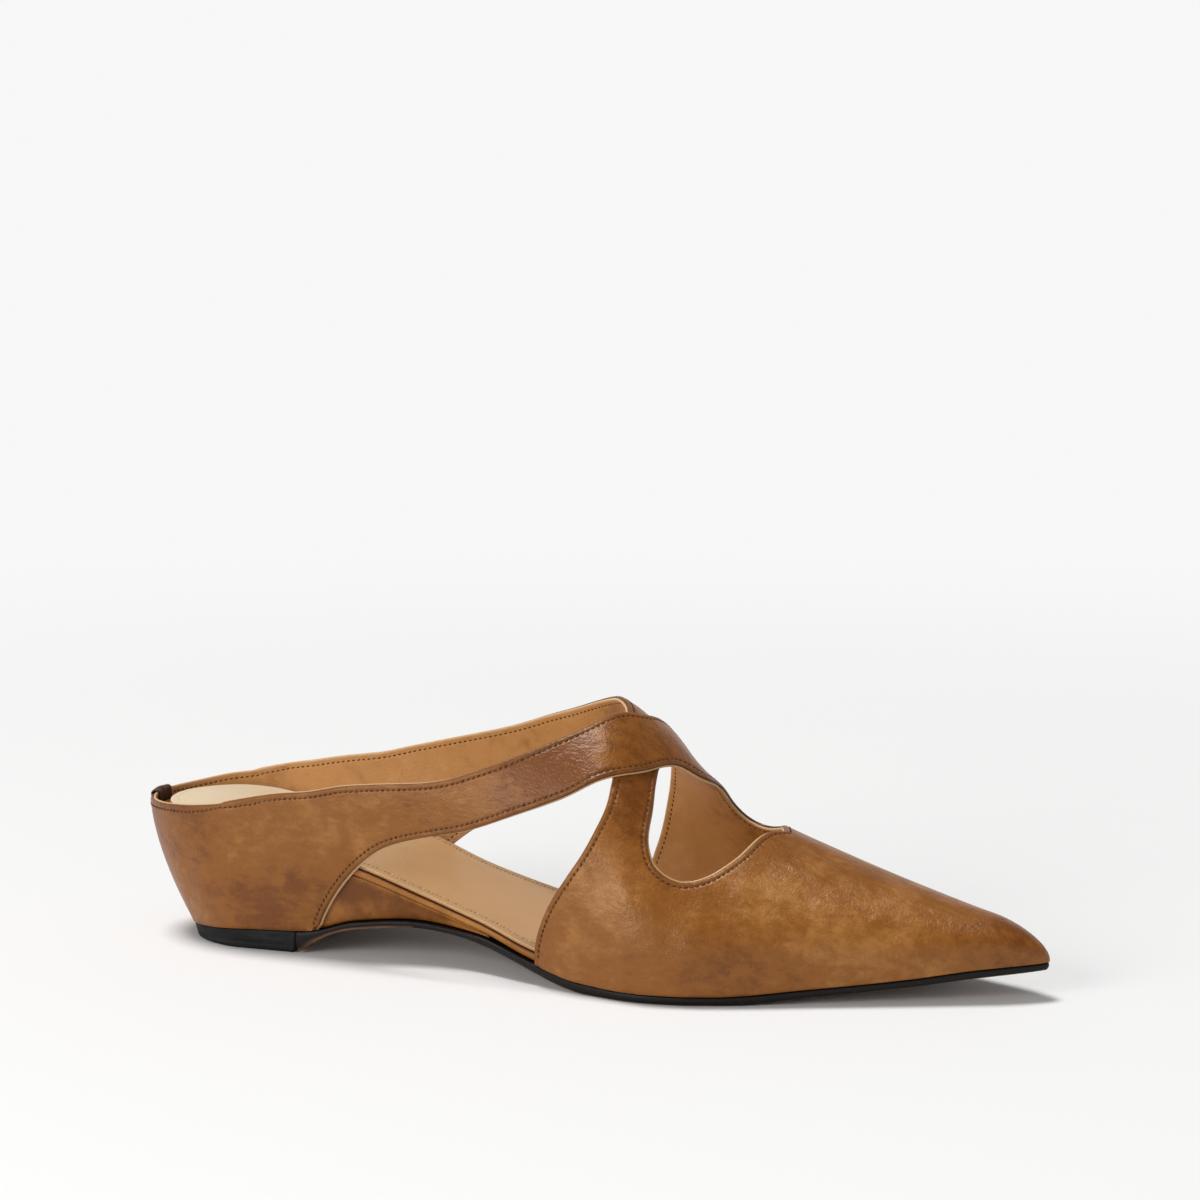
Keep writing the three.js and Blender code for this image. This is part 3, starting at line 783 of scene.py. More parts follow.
    def _meet(
        self, cut: tuple[Strap, Strap], flat: Array, level: Array, edges: list[tuple[int, int]],
    ) -> Array:
        """Where grid edges meet the margin line.

        Args:
            cut: the strap that is cut and the other.
            flat: the grid's points.
            level: their distances inside the margin line.
            edges: pairs of points on either side of it.

        Returns:
            A flat point for each edge.
        """
        ends = np.array(edges, int).reshape(-1, 2)
        high = np.where(level[ends[:, 0]] > 0, ends[:, 0], ends[:, 1])
        good, bad = flat[high], flat[ends.sum(axis=1) - high]
        for _ in range(self.halvings):
            half = (good + bad) / 2
            inner = self._field(*cut, half)[0] >= 0
            good = np.where(inner[:, None], half, good)
            bad = np.where(inner[:, None], bad, half)
        return good

    def _sheet(self, number: int, strap: Strap, other: Strap) -> Patch:
        """Cuts one strap's sheet out of the grid, down to its seam margin.

        Args:
            number: number of the strap.
            strap: the strap that is cut.
            other: the strap that shares its vamp.

        Returns:
            The sheet.
        """
        cut = (strap, other)
        places, ribs = self._grid()
        flat = np.stack(np.meshgrid(places, ribs, indexing="ij"), axis=-1).reshape(-1, 2)
        level, foot = self._field(*cut, flat)
        rim = self._snap(cut, flat, level, foot)
        whole, crossed = self._cells(number, places, level)
        trimmed, edges = self._trim(crossed, level)
        added = self._meet(cut, flat, level, edges)
        return Patch(
            np.vstack([flat, added]),
            np.full(len(flat) + len(added), float(number)),
            whole + trimmed,
            np.concatenate([rim, np.ones(len(added), bool)]),
            np.vstack([foot, self._field(*cut, added)[1]]),
        )

    def _weld(self, patches: list[Patch]) -> Patch:
        """Joins the sheets where their vertices share a place on the last.

        Args:
            patches: the sheets.

        Returns:
            One mesh, without vertices that no face uses.
        """
        parts = zip(*((p.flat, p.sheet, p.rim, p.foot) for p in patches))
        flat, sheet, rim, foot = (np.concatenate(part) for part in parts)
        points = np.round(self.last.point(flat) / self.weld_gap).astype(int)
        lone = (flat[:, 0] > self.last.seam + SMALL) & (flat[:, 0] < self.throat_x)
        number: dict[tuple[int, ...], int] = {}
        names: list[int] = []
        for i, point in enumerate(points):
            key = (*point, int(sheet[i]) + 1 if lone[i] else 0)
            names.append(number.setdefault(key, i))
        used: dict[int, int] = {}
        faces: Faces = []
        start = 0
        for patch in patches:
            for corners in patch.faces:
                ring: list[int] = []
                for corner in corners:
                    name = names[corner + start]
                    if not ring or ring[-1] != name:
                        ring.append(name)
                if len(ring) > 1 and ring[0] == ring[-1]:
                    ring.pop()
                if len(set(ring)) > 2:
                    faces.append([used.setdefault(name, len(used)) for name in ring])
            start += len(patch.flat)
        keep = np.array(list(used))
        return Patch(flat[keep], sheet[keep], faces, rim[keep], foot[keep])

    def _feather_ends(self) -> list[Array]:
        """Where the cut edges run out over the feather line.

        Returns:
            A flat place for each edge.
        """
        ends = []
        for one in (self.upper, self.under):
            for edge in (one.rear_line[::-1], one.front_line):
                low = edge[0, 1] < self.last.rib
                level = 0.0 if low else 2 * self.last.rib
                k = int(np.argmax(edge[:, 1] > level if low else edge[:, 1] < level))
                t = (level - edge[k - 1, 1]) / (edge[k, 1] - edge[k - 1, 1])
                ends.append(edge[k - 1] + t * (edge[k] - edge[k - 1]))
        return ends

    def cut_out(self) -> Patch:
        """Cuts the whole upper on the flat, down to the seam margin.

        Returns:
            One welded mesh.
        """
        patch = self._weld([self._sheet(*strap) for strap in self.straps()])
        ends, rib = self._feather_ends(), patch.flat[:, 1]
        feather = (np.abs(rib) < SMALL) | (np.abs(rib - 2 * self.last.rib) < SMALL)
        for i in np.flatnonzero(feather & patch.rim):
            patch.foot[i] = min(ends, key=lambda end: float(np.abs(end - patch.flat[i]).sum()))
        return patch


# ---- the leather's face


@dataclass(frozen=True)
class Crease:
    """A soft trough in the leather along a line, or a ridge where its depth is negative."""

    side: Side
    turns: tuple[Pair, ...]
    width: float
    depth: float


@dataclass(frozen=True)
class ToneLightPatch:
    """A patch of the leather that is lighter (above 0) or redder and darker (below 0): partly its
    own mottling, partly painted highlight and painted shade.
    """

    side: Side
    x: float
    z: float
    reach: float
    tone: float


@dataclass
class Face:
    """The outer face of the upper: the last, with the crossing's rise, the seam and the creases."""

    pattern: Pattern
    rise: float = 1.82
    ease: float = 15.0
    relief: float = 1.7
    seam_depth: float = 0.28
    seam_width: float = 0.8
    zone: tuple[float, float, float, float] = (92.0, 110.0, 163.0, 174.0)
    crease_samples: int = 24
    crease_reach: float = 45.0
    crease_end: float = 0.02
    crease_taper: float = 0.7
    over_middle: float = 3.0
    creases: tuple[Crease, ...] = (
        Crease(LAT, ((174, 34), (176, 27), (175, 19)), 3.2, 0.15),
        Crease(LAT, ((180, 35), (182, 28), (181, 22)), 2.8, -0.13),
        Crease(LAT, ((186, 41), (196, 37.5), (207, 33)), 1.5, 0.26),
        Crease(LAT, ((184, 38.5), (194, 34.5), (204, 30.5)), 1.5, -0.2),
        Crease(LAT, ((182, 36), (190, 32), (199, 28.5)), 1.6, 0.28),
        Crease(LAT, ((180, 33), (187, 29), (194, 26)), 1.6, -0.18),
        Crease(LAT, ((181, 30), (188, 26.5), (196, 24)), 1.5, 0.2),
        Crease(LAT, ((140, 40), (143, 30), (147, 20)), 4.5, 0.3),
        Crease(LAT, ((147, 43), (150, 33), (155, 24)), 4, -0.25),
        Crease(LAT, ((132, 24), (140, 18), (150, 13)), 4, 0.25),
        Crease(LAT, ((162, 28), (164, 20), (163, 12)), 4, 0.22),
        Crease(MED, ((176, 37), (178, 30), (177, 22)), 2, 0.3),
        Crease(MED, ((184, 38), (193, 34), (203, 30)), 1.7, 0.25),
        Crease(MED, ((181, 34), (189, 30), (198, 26)), 1.7, -0.2),
        Crease(MED, ((140, 36), (143, 27), (147, 18)), 4.5, 0.28),
        Crease(LAT, ((8, 30), (6, 20), (8, 11)), 3.5, 0.2),
        Crease(LAT, ((28, 34), (27, 24), (30, 13)), 4, 0.18),
        Crease(MED, ((24, 34), (25, 24), (28, 13)), 4, 0.18),
    )

    def _along(self, crease: Crease, points: Array) -> tuple[Array, Array]:
        """Where points lie beside a crease.

        Args:
            crease: the crease.
            points: points on the last.

        Returns:
            Distance of each from it, and the share of its length.
        """
        last = self.pattern.last
        turns = [(crease.side, *turn) for turn in crease.turns]
        path = last.point(spline(last.flat(turns), self.crease_samples))
        start, along = path[:-1], np.diff(path, axis=0)
        gap = points[:, None, :] - start[None]
        t = np.clip((gap * along).sum(axis=2) / (along**2).sum(axis=1), 0, 1)
        square = ((gap - t[..., None] * along) ** 2).sum(axis=2)
        k = square.argmin(axis=1)
        rows = np.arange(len(points))
        return np.sqrt(square[rows, k]), (k + t[rows, k]) / len(start)

    def swell(self, flat: Array, sheet: Array, points: Array) -> Array:
        """How far the leather stands off the last.

        Args:
            flat: places on the pattern.
            sheet: number of the strap that each belongs to.
            points: the same places on the last.

        Returns:
            Height over the last, negative where pressed in.
        """
        place = flat[:, 0]
        zone = smoothstep(place, *self.zone[:2]) * (1 - smoothstep(place, *self.zone[2:]))
        from_seam = (place - self.pattern.last.seam) / self.seam_width
        height = -self.seam_depth * np.exp(-(from_seam**2))
        over = (sheet == 0) & (zone > 0)
        if over.any():
            under = self.pattern.under.depth(flat[over], points[over])
            height[over] += self.rise * smoothstep(under, -self.ease, 0.0) * zone[over]
        for crease in self.creases:
            near = points[:, 1] * crease.side.value > -self.over_middle
            near &= np.abs(place - crease.turns[0][0]) < self.crease_reach
            if near.any():
                distance, share = self._along(crease, points[near])
                share = np.clip(share, self.crease_end, 1 - self.crease_end)
                taper = np.sin(share * math.pi) ** self.crease_taper
                trough = np.exp(-((distance / crease.width) ** 2))
                height[near] -= self.relief * crease.depth * taper * trough
        return height

    def frame_at(self, flat: Array, sheet: Array) -> tuple[Array, Array]:
        """Points on the leather's face and the outward normals there."""
        points, normals = self.pattern.last.point(flat), self.pattern.last.outward(flat)
        return points + normals * self.swell(flat, sheet, points)[:, None], normals


# ---- meshes


def deselect() -> None:
    """Leaves object mode's selection empty."""
    bpy.ops.object.select_all(action="DESELECT")


def select_only(piece: Piece) -> None:
    """Selects one piece and makes it active."""
    deselect()
    piece.select_set(True)
    bpy.context.view_layer.objects.active = piece


def from_points(name: str, points: Array, faces: Sequence[Sequence[int]]) -> Piece:
    """Makes a smooth piece.

    Args:
        name: the piece's name.
        points: its vertices in metres.
        faces: corners of each face.

    Returns:
        The piece.
    """
    mesh = bpy.data.meshes.new(name)
    mesh.from_pydata(points.tolist(), [], [list(map(int, face)) for face in faces])
    mesh.update()
    piece = bpy.data.objects.new(name, mesh)
    bpy.context.scene.collection.objects.link(piece)
    mesh.polygons.foreach_set("use_smooth", np.ones(len(mesh.polygons), bool))
    return piece


def paint(piece: Piece, name: str, values: Array) -> None:
    """Stores one number for each vertex, for the finish to read."""
    layer = piece.data.attributes.new(name, "FLOAT", "POINT")
    layer.data.foreach_set("value", np.asarray(values, np.float32))


def vertex_rows(piece: Piece, name: str) -> Array:
    """Reads a vector of each vertex.

    Args:
        piece: the piece.
        name: co or normal.

    Returns:
        One row for each vertex.
    """
    flat = np.zeros(len(piece.data.vertices) * 3, np.float32)
    piece.data.vertices.foreach_get(name, flat)
    return flat.reshape(-1, 3)


def grid_piece(name: str, points: Array) -> Piece:
    """A plane grid shaped to rows of points.

    Args:
        name: the piece's name.
        points: rows by columns by 3, in metres.

    Returns:
        The shaped grid.
    """
    rows, cols = points.shape[:2]
    deselect()
    bpy.ops.mesh.primitive_grid_add(x_subdivisions=cols - 1, y_subdivisions=rows - 1, size=1.0)
    piece = bpy.context.object
    piece.name = piece.data.name = name
    flat = vertex_rows(piece, "co")
    col = np.rint((flat[:, 0] + 0.5) * (cols - 1)).astype(int)
    row = np.rint((flat[:, 1] + 0.5) * (rows - 1)).astype(int)
    piece.data.vertices.foreach_set("co", points[row, col].astype(np.float32).ravel())
    piece.data.update()
    return piece


def close_up(piece: Piece, gap: float = 2e-6) -> None:
    """Merges doubles, drops what is left without area and turns faces outwards.

    Args:
        piece: the piece.
        gap: how close doubles lie, in metres.
    """
    select_only(piece)
    bpy.ops.object.mode_set(mode="EDIT")
    bpy.ops.mesh.select_all(action="SELECT")
    bpy.ops.mesh.remove_doubles(threshold=gap)
    bpy.ops.mesh.dissolve_degenerate(threshold=gap)
    bpy.ops.mesh.select_all(action="SELECT")
    bpy.ops.mesh.normals_make_consistent(inside=False)
    bpy.ops.object.mode_set(mode="OBJECT")
    bpy.ops.object.shade_smooth()


def add_modifier(piece: Piece, kind: str, **values: object) -> None:
    """Adds a modifier, sets it and applies it.

    Args:
        piece: the piece.
        kind: type of the modifier.
        values: its settings.
    """
    select_only(piece)
    modifier = piece.modifiers.new(kind.title(), kind)
    for name, value in values.items():
        setattr(modifier, name, value)
    bpy.ops.object.modifier_apply(modifier=modifier.name)


def finish_piece(
    piece: Piece, material: Material, nodes: Sequence[str] = (),
) -> Piece:
    """Dresses a piece and hangs it on the shoe.

    Args:
        piece: the finished mesh.
        material: what it wears.
        nodes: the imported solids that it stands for.

    Returns:
        The piece.
    """
    piece.data.materials.clear()
    piece.data.materials.append(material)
    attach(piece, "root")
    if nodes:
        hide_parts(*nodes)
    mesh = piece.data
    log.info("%s: %d vertices, %d faces", piece.name, len(mesh.vertices), len(mesh.polygons))
    return piece


# ---- materials

BLACK, WHITE = (0.0, 0.0, 0.0), (1.0, 1.0, 1.0)


class Graph:
    """A material's nodes, with short ways to add to them."""

    def __init__(self, name: str) -> None:
        """Makes an empty material with its shader and output.

        Args:
            name: the material's name.
        """
        self.material = bpy.data.materials.new(name)
        self.material.use_nodes = True
        self.tree = self.material.node_tree
        self.tree.nodes.clear()
        self.shader = self._add("BsdfPrincipled", {})
        self._add("OutputMaterial", {0: self.shader.outputs[0]})
        self.place = self._add("TexCoord", {}).outputs["Object"]

    def _put(self, socket: Socket, value: Value) -> None:
        """Links a socket or sets its value.

        Args:
            socket: an input.
            value: another socket, or a number or row of numbers.
        """
        if isinstance(value, Socket):
            self.tree.links.new(value, socket)
        else:
            socket.default_value = value

    def _add(self, kind: str, inputs: dict[int | str, Value], **settings: str) -> bpy.types.Node:
        """Adds a node.

        Args:
            kind: its type, less ShaderNode.
            inputs: what its inputs get.
            settings: its own settings.

        Returns:
            The node.
        """
        node = self.tree.nodes.new("ShaderNode" + kind)
        for name, value in settings.items():
            setattr(node, name, value)
        for key, value in inputs.items():
            self._put(node.inputs[key], value)
        return node

    def set(self, name: str, value: Value) -> None:
        """Gives the shader one of its inputs."""
        self._put(self.shader.inputs[name], value)

    def math(self, kind: str, one: Socket | float, two: Socket | float) -> Socket:
        """A sum, product or the like of two numbers."""
        return self._add("Math", {0: one, 1: two}, operation=kind).outputs[0]

    def weigh(self, *parts: tuple[Socket, float]) -> Socket:
        """Sum of numbers, each times its weight.

        Args:
            parts: the numbers and their weights.

        Returns:
            The sum.
        """
        total, *others = (self.math("MULTIPLY", value, weight) for value, weight in parts)
        for other in others:
            total = self.math("ADD", total, other)
        return total

    def uneven(
        self, middle: float, scale: float, swing: float = 0.16, rough: float = 0.5,
    ) -> Socket:
        """A roughness that swings about its middle."""
        wander = self.weigh((self.noise(scale, 3.0, rough), swing))
        return self.math("ADD", wander, middle - swing / 2)

    def mix(self, share: Socket | float, one: Socket | Colour, two: Socket | Colour) -> Socket:
        """One colour turning into another."""
        full = [value if isinstance(value, Socket) else (*value, 1.0) for value in (one, two)]
        return self._add("Mix", {0: share, 6: full[0], 7: full[1]}, data_type="RGBA").outputs[2]

    def ramp(self, share: Socket, stops: Sequence[tuple[float, Colour]]) -> Socket:
        """Colours along a scale.

        Args:
            share: place on the scale.
            stops: places and their colours.

        Returns:
            The colour.
        """
        node = self._add("ValToRGB", {0: share})
        node.color_ramp.interpolation = "EASE"
        for _ in stops[2:]:
            node.color_ramp.elements.new(0.5)
        for element, (at, colour) in zip(node.color_ramp.elements, stops):
            element.position, element.color = at, (*colour, 1.0)
        return node.outputs[0]

    def noise(
        self, scale: float, detail: float, rough: float = 0.5, place: Socket | None = None,
    ) -> Socket:
        """Soft noise, its scale in features to the metre."""
        inputs = {"Scale": scale, "Detail": detail, "Roughness": rough}
        return self._add("TexNoise", {"Vector": place or self.place, **inputs}).outputs[0]

    def cells(self, scale: float) -> Socket:
        """Distance to the middles of cells, as pores and pebbles lie."""
        return self._add("TexVoronoi", {"Vector": self.place, "Scale": scale}).outputs[0]

    def stretched(self, turn: Triple, scale: Triple) -> Socket:
        """Object coordinates turned and drawn out."""
        inputs = {"Vector": self.place, "Rotation": turn, "Scale": scale}
        return self._add("Mapping", inputs).outputs[0]

    def read(self, name: str) -> Socket:
        """A number stored on the mesh."""
        return self._add("Attribute", {}, attribute_name=name).outputs["Fac"]

    def away(self) -> Socket:
        """Distance from the origin in metres."""
        return self._add("VectorMath", {0: self.place}, operation="LENGTH").outputs["Value"]

    def bump(self, height: Socket, distance: float, under: Socket | None = None) -> Socket:
        """A relief of that many metres, laid over another.

        Args:
            height: the relief.
            distance: its height.
            under: the other's normal.

        Returns:
            The normal.
        """
        node = self._add("Bump", {"Strength": 1.0, "Distance": distance, "Height": height})
        if under is not None:
            self._put(node.inputs["Normal"], under)
        return node.outputs[0]


@dataclass(frozen=True)
class BurnishedLeather:
    """Hand-burnished smooth leather: mottled, satin, darker along its cut edges, with patches of
    painted highlight and painted shade.
    """

    name: str = "burnished_leather"
    deep: Colour = (0.140, 0.038, 0.003)
    body: Colour = (0.222, 0.074, 0.008)
    pale: Colour = (0.325, 0.135, 0.030)
    rim: Colour = (0.085, 0.030, 0.010)
    edge: Colour = (0.120, 0.038, 0.006)
    roughness: float = 0.39

    def material(self) -> Material:
        """Builds the nodes.

        Returns:
            The material.
        """
        g = Graph(self.name)
        patches = g.noise(30, 3, 0.55)
        mottle = g.noise(150, 5, 0.65)
        drawn = g.stretched((0.0, 0.6, 0.25), (1.0, 2.6, 2.2))
        streaks = g.noise(210, 4, 0.6, drawn)
        # the tone attribute adds patches that are partly mottling, partly painted highlight and
        # painted shade
        tone = g.weigh((patches, 0.85), (mottle, 0.55), (streaks, 0.46), (g.read("tone"), 1.0))
        tone = g.math("SUBTRACT", tone, 0.44)
        colour = g.ramp(tone, ((0.24, self.deep), (0.50, self.body), (0.80, self.pale)))
        specks = g.math("GREATER_THAN", g.noise(900, 2, 0.7), 0.64)
        colour = g.mix(g.math("MULTIPLY", specks, 0.22), colour, self.deep)
        colour = g.mix(g.read("edge"), colour, self.edge)
        colour = g.mix(g.read("rim"), colour, self.rim)
        g.set("Base Color", colour)
        g.set("Roughness", g.uneven(self.roughness, 60, rough=0.6))
        g.set("Specular IOR Level", 0.48)
        g.set("Specular Tint", (1.0, 0.84, 0.68, 1.0))
        broad = g.bump(g.noise(95, 4, 0.55), 0.0009)
        creased = g.bump(g.noise(330, 3, 0.6, drawn), 0.00018, broad)
        pebbles = g.bump(g.cells(1500), 0.00006, creased)
        g.set("Normal", g.bump(g.noise(2600, 2, 0.6), 0.00006, pebbles))
        return g.material


@dataclass(frozen=True)
class LiningLeather:
    """Undyed tan lining with fine pores, and raw where it is cut."""

    name: str = "lining_leather"
    deep: Colour = (0.330, 0.135, 0.028)
    body: Colour = (0.510, 0.245, 0.072)
    pale: Colour = (0.580, 0.310, 0.110)
    rim: Colour = (0.560, 0.335, 0.160)
    roughness: float = 0.52

    def material(self) -> Material:
        """Builds the nodes.

        Returns:
            The material.
        """
        g = Graph(self.name)
        tone = g.weigh((g.noise(30, 3), 0.6), (g.noise(240, 4, 0.6), 0.4))
        colour = g.ramp(tone, ((0.30, self.deep), (0.52, self.body), (0.75, self.pale)))
        pores = g.math("LESS_THAN", g.cells(1100), 0.16)
        colour = g.mix(g.math("MULTIPLY", pores, 0.30), colour, self.deep)
        g.set("Base Color", g.mix(g.read("rim"), colour, self.rim))
        g.set("Roughness", self.roughness)
        wrinkles = g.bump(g.noise(420, 4, 0.65), 0.00016)
        g.set("Normal", g.bump(g.cells(1100), 0.00008, wrinkles))
        return g.material


@dataclass(frozen=True)
class SockLeather:
    """Soft sock leather, pale over the heel pad and tan towards the waist."""

    name: str = "sock_leather"
    heel: Colour = (0.640, 0.500, 0.330)
    waist: Colour = (0.500, 0.300, 0.140)
    deep: Colour = (0.400, 0.215, 0.085)
    roughness: float = 0.50

    def material(self) -> Material:
        """Builds the nodes.

        Returns:
            The material.
        """
        g = Graph(self.name)
        colour = g.mix(g.read("waist"), self.heel, self.waist)
        cloud = g.math("MULTIPLY", g.noise(45, 4, 0.6), 0.55)
        colour = g.mix(g.math("MULTIPLY", cloud, g.read("waist")), colour, self.deep)
        # rim marks the sock's turned-down side, darkened as painted shade
        colour = g.mix(g.read("rim"), colour, self.deep)
        g.set("Base Color", colour)
        g.set("Roughness", g.uneven(self.roughness, 130))
        folds = g.bump(g.noise(120, 3, 0.5), 0.0002)
        g.set("Normal", g.bump(g.cells(1300), 0.00005, folds))
        return g.material


@dataclass(frozen=True)
class WrapLeather:
    """Thin brown leather wrapped round the board and the wedge."""

    name: str = "wrap_leather"
    deep: Colour = (0.140, 0.044, 0.006)
    body: Colour = (0.310, 0.118, 0.022)
    pale: Colour = (0.460, 0.210, 0.055)
    roughness: float = 0.48

    def material(self) -> Material:
        """Builds the nodes.

        Returns:
            The material.
        """
        g = Graph(self.name)
        # tone carries painted shade at the board's top and a painted highlight at the wedge's top
        tone = g.math("ADD", g.noise(55, 4, 0.6), g.read("tone"))
        g.set("Base Color", g.ramp(tone, ((0.25, self.deep), (0.52, self.body), (0.80, self.pale))))
        g.set("Roughness", g.uneven(self.roughness, 160, 0.2))
        g.set("Specular IOR Level", 0.30)
        folds = g.bump(g.noise(190, 3, 0.5), 0.0002)
        g.set("Normal", g.bump(g.cells(1400), 0.00005, folds))
        return g.material


@dataclass(frozen=True)
class SoleLeather:
    """Sole leather with a black inked edge and a natural brown underside, a little scuffed."""

    name: str = "sole_leather"
    ink: Colour = (0.004, 0.003, 0.003)
    bottom: Colour = (0.200, 0.098, 0.045)
    scuff: Colour = (0.085, 0.046, 0.026)
    roughness: float = 0.46

    def material(self) -> Material:
        """Builds the nodes.

        Returns:
            The material.
        """
        g = Graph(self.name)
        worn = g.ramp(g.noise(70, 6, 0.7), ((0.35, self.scuff), (0.62, self.bottom)))
        flecks = g.weigh((g.math("GREATER_THAN", g.noise(420, 5, 0.8), 0.66), 0.25))
        edge = g.mix(flecks, self.ink, self.bottom)
        g.set("Base Color", g.mix(g.read("under"), edge, worn))
        g.set("Roughness", g.math("ADD", g.math("MULTIPLY", g.read("under"), 0.22), self.roughness))
        g.set("Specular IOR Level", 0.22)
        grain = g.noise(800, 4, 0.6, g.stretched((0, 0, 0), (0.25, 1, 2)))
        g.set("Normal", g.bump(grain, 0.0001))
        return g.material


@dataclass(frozen=True)
class HeelRubber:
    """Matt dark rubber with faint scuffs."""

    name: str = "heel_rubber"
    base: Colour = (0.005, 0.005, 0.005)
    scuff: Colour = (0.017, 0.017, 0.017)
    roughness: float = 0.70

    def material(self) -> Material:
        """Builds the nodes.

        Returns:
            The material.
        """
        g = Graph(self.name)
        drawn = g.stretched((0.0, 0.0, 0.0), (0.5, 0.5, 3.0))
        scuffs = g.noise(160, 5, 0.7, drawn)
        g.set("Base Color", g.ramp(scuffs, ((0.42, self.base), (0.75, self.scuff))))
        g.set("Roughness", g.uneven(self.roughness, 300))
        g.set("Specular IOR Level", 0.25)
        g.set("Normal", g.bump(g.noise(1500, 3, 0.6), 0.00005))
        return g.material


@dataclass(frozen=True)
class Thread:
    """Waxed, twisted thread."""

    name: str
    colour: Colour
    roughness: float = 0.55

    def material(self) -> Material:
        """Builds the nodes.

        Returns:
            The material.
        """
        g = Graph(self.name)
        shade = tuple(0.45 * value for value in self.colour)
        g.set("Base Color", g.ramp(g.noise(700, 2), ((0.35, shade), (0.65, self.colour))))
        g.set("Roughness", self.roughness)
        g.set("Specular IOR Level", 0.2)
        g.set("Normal", g.bump(g.noise(3200, 2, 0.6), 0.00004))
        return g.material


@dataclass(frozen=True)
class Studio:
    """Plain pale paper that takes the shoe's shadow, and away from it glows evenly."""

    name: str = "paper"
    shade: Colour = (0.76, 0.76, 0.76)
    glow: Colour = (0.935, 0.935, 0.935)
    near: float = 0.25
    far: float = 0.95

    def material(self) -> Material:
        """Builds the nodes.

        Returns:
            The material.
        """
        g = Graph(self.name)
        share = g.ramp(g.away(), ((self.near, BLACK), (self.far, WHITE)))
        g.set("Base Color", g.mix(share, self.shade, BLACK))
        g.set("Roughness", 1.0)
        g.set("Specular IOR Level", 0.0)
        g.set("Emission Color", (*self.glow, 1.0))
        g.set("Emission Strength", share)
        return g.material


BROWN_THREAD = Thread("brown_thread", (0.140, 0.048, 0.012), 0.75)
DOT_LEATHER = Thread("sock_dots", (0.600, 0.420, 0.240))
TAB_LEATHER = WrapLeather(
    "tab_leather", (0.036, 0.013, 0.005), (0.070, 0.026, 0.010), (0.110, 0.046, 0.020),
)


# ---- the upper


@dataclass(frozen=True)
class Ply:
    """One layer of the upper. Its rings run from its outer face over the cut edge to the inner.

    A ring has its distance from the cut and its depth under the leather's face. The rim is what
    is cut raw, and the hem is how far the layer hangs over at the feather line.
    """

    name: str
    top: float
    bottom: float
    rings: tuple[Pair, ...]
    rim_from: float
    hem: float


OUTER_PLY = Ply(
    name="upper_leather",
    top=0.0,
    bottom=0.95,
    rings=(
        (2.2, 0.02), (1.95, 0.13), (1.7, 0.17), (1.45, 0.06), (1.15, -0.03), (0.8, -0.01),
        (0.48, 0.06), (0.22, 0.20), (0.06, 0.42), (0.04, 0.68), (0.12, 0.90), (0.5, 0.95),
    ),
    rim_from=0.40,
    hem=0.25,
)
LINING_PLY = Ply(
    name="upper_lining",
    top=0.97,
    bottom=1.75,
    rings=(
        (0.5, 0.97), (-0.02, 0.99), (-0.12, 1.14), (-0.14, 1.38), (-0.08, 1.60), (0.12, 1.72),
        (0.7, 1.76), (1.3, 1.76), (1.6, 1.70), (1.85, 1.69), (2.1, 1.74),
    ),
    rim_from=0.98,
    hem=0.0,
)


def open_edges(faces: Faces) -> list[tuple[int, int]]:
    """Edges that only one face has."""
    directed = {(a, b) for face in faces for a, b in zip(face, face[1:] + face[:1])}
    return [(a, b) for a, b in directed if (b, a) not in directed]


def holes(faces: Faces) -> Faces:
    """Faces that close what is open.

    Args:
        faces: corners of each face.

    Returns:
        A face for each ring of open edges.
    """
    onward = {b: a for a, b in open_edges(faces)}
    rings = []
    while onward:
        start, at = onward.popitem()
        ring = [start]
        while at != start and at in onward:
            ring.append(at)
            at = onward.pop(at)
        if len(ring) > 2:
            rings.append(ring)
    return rings


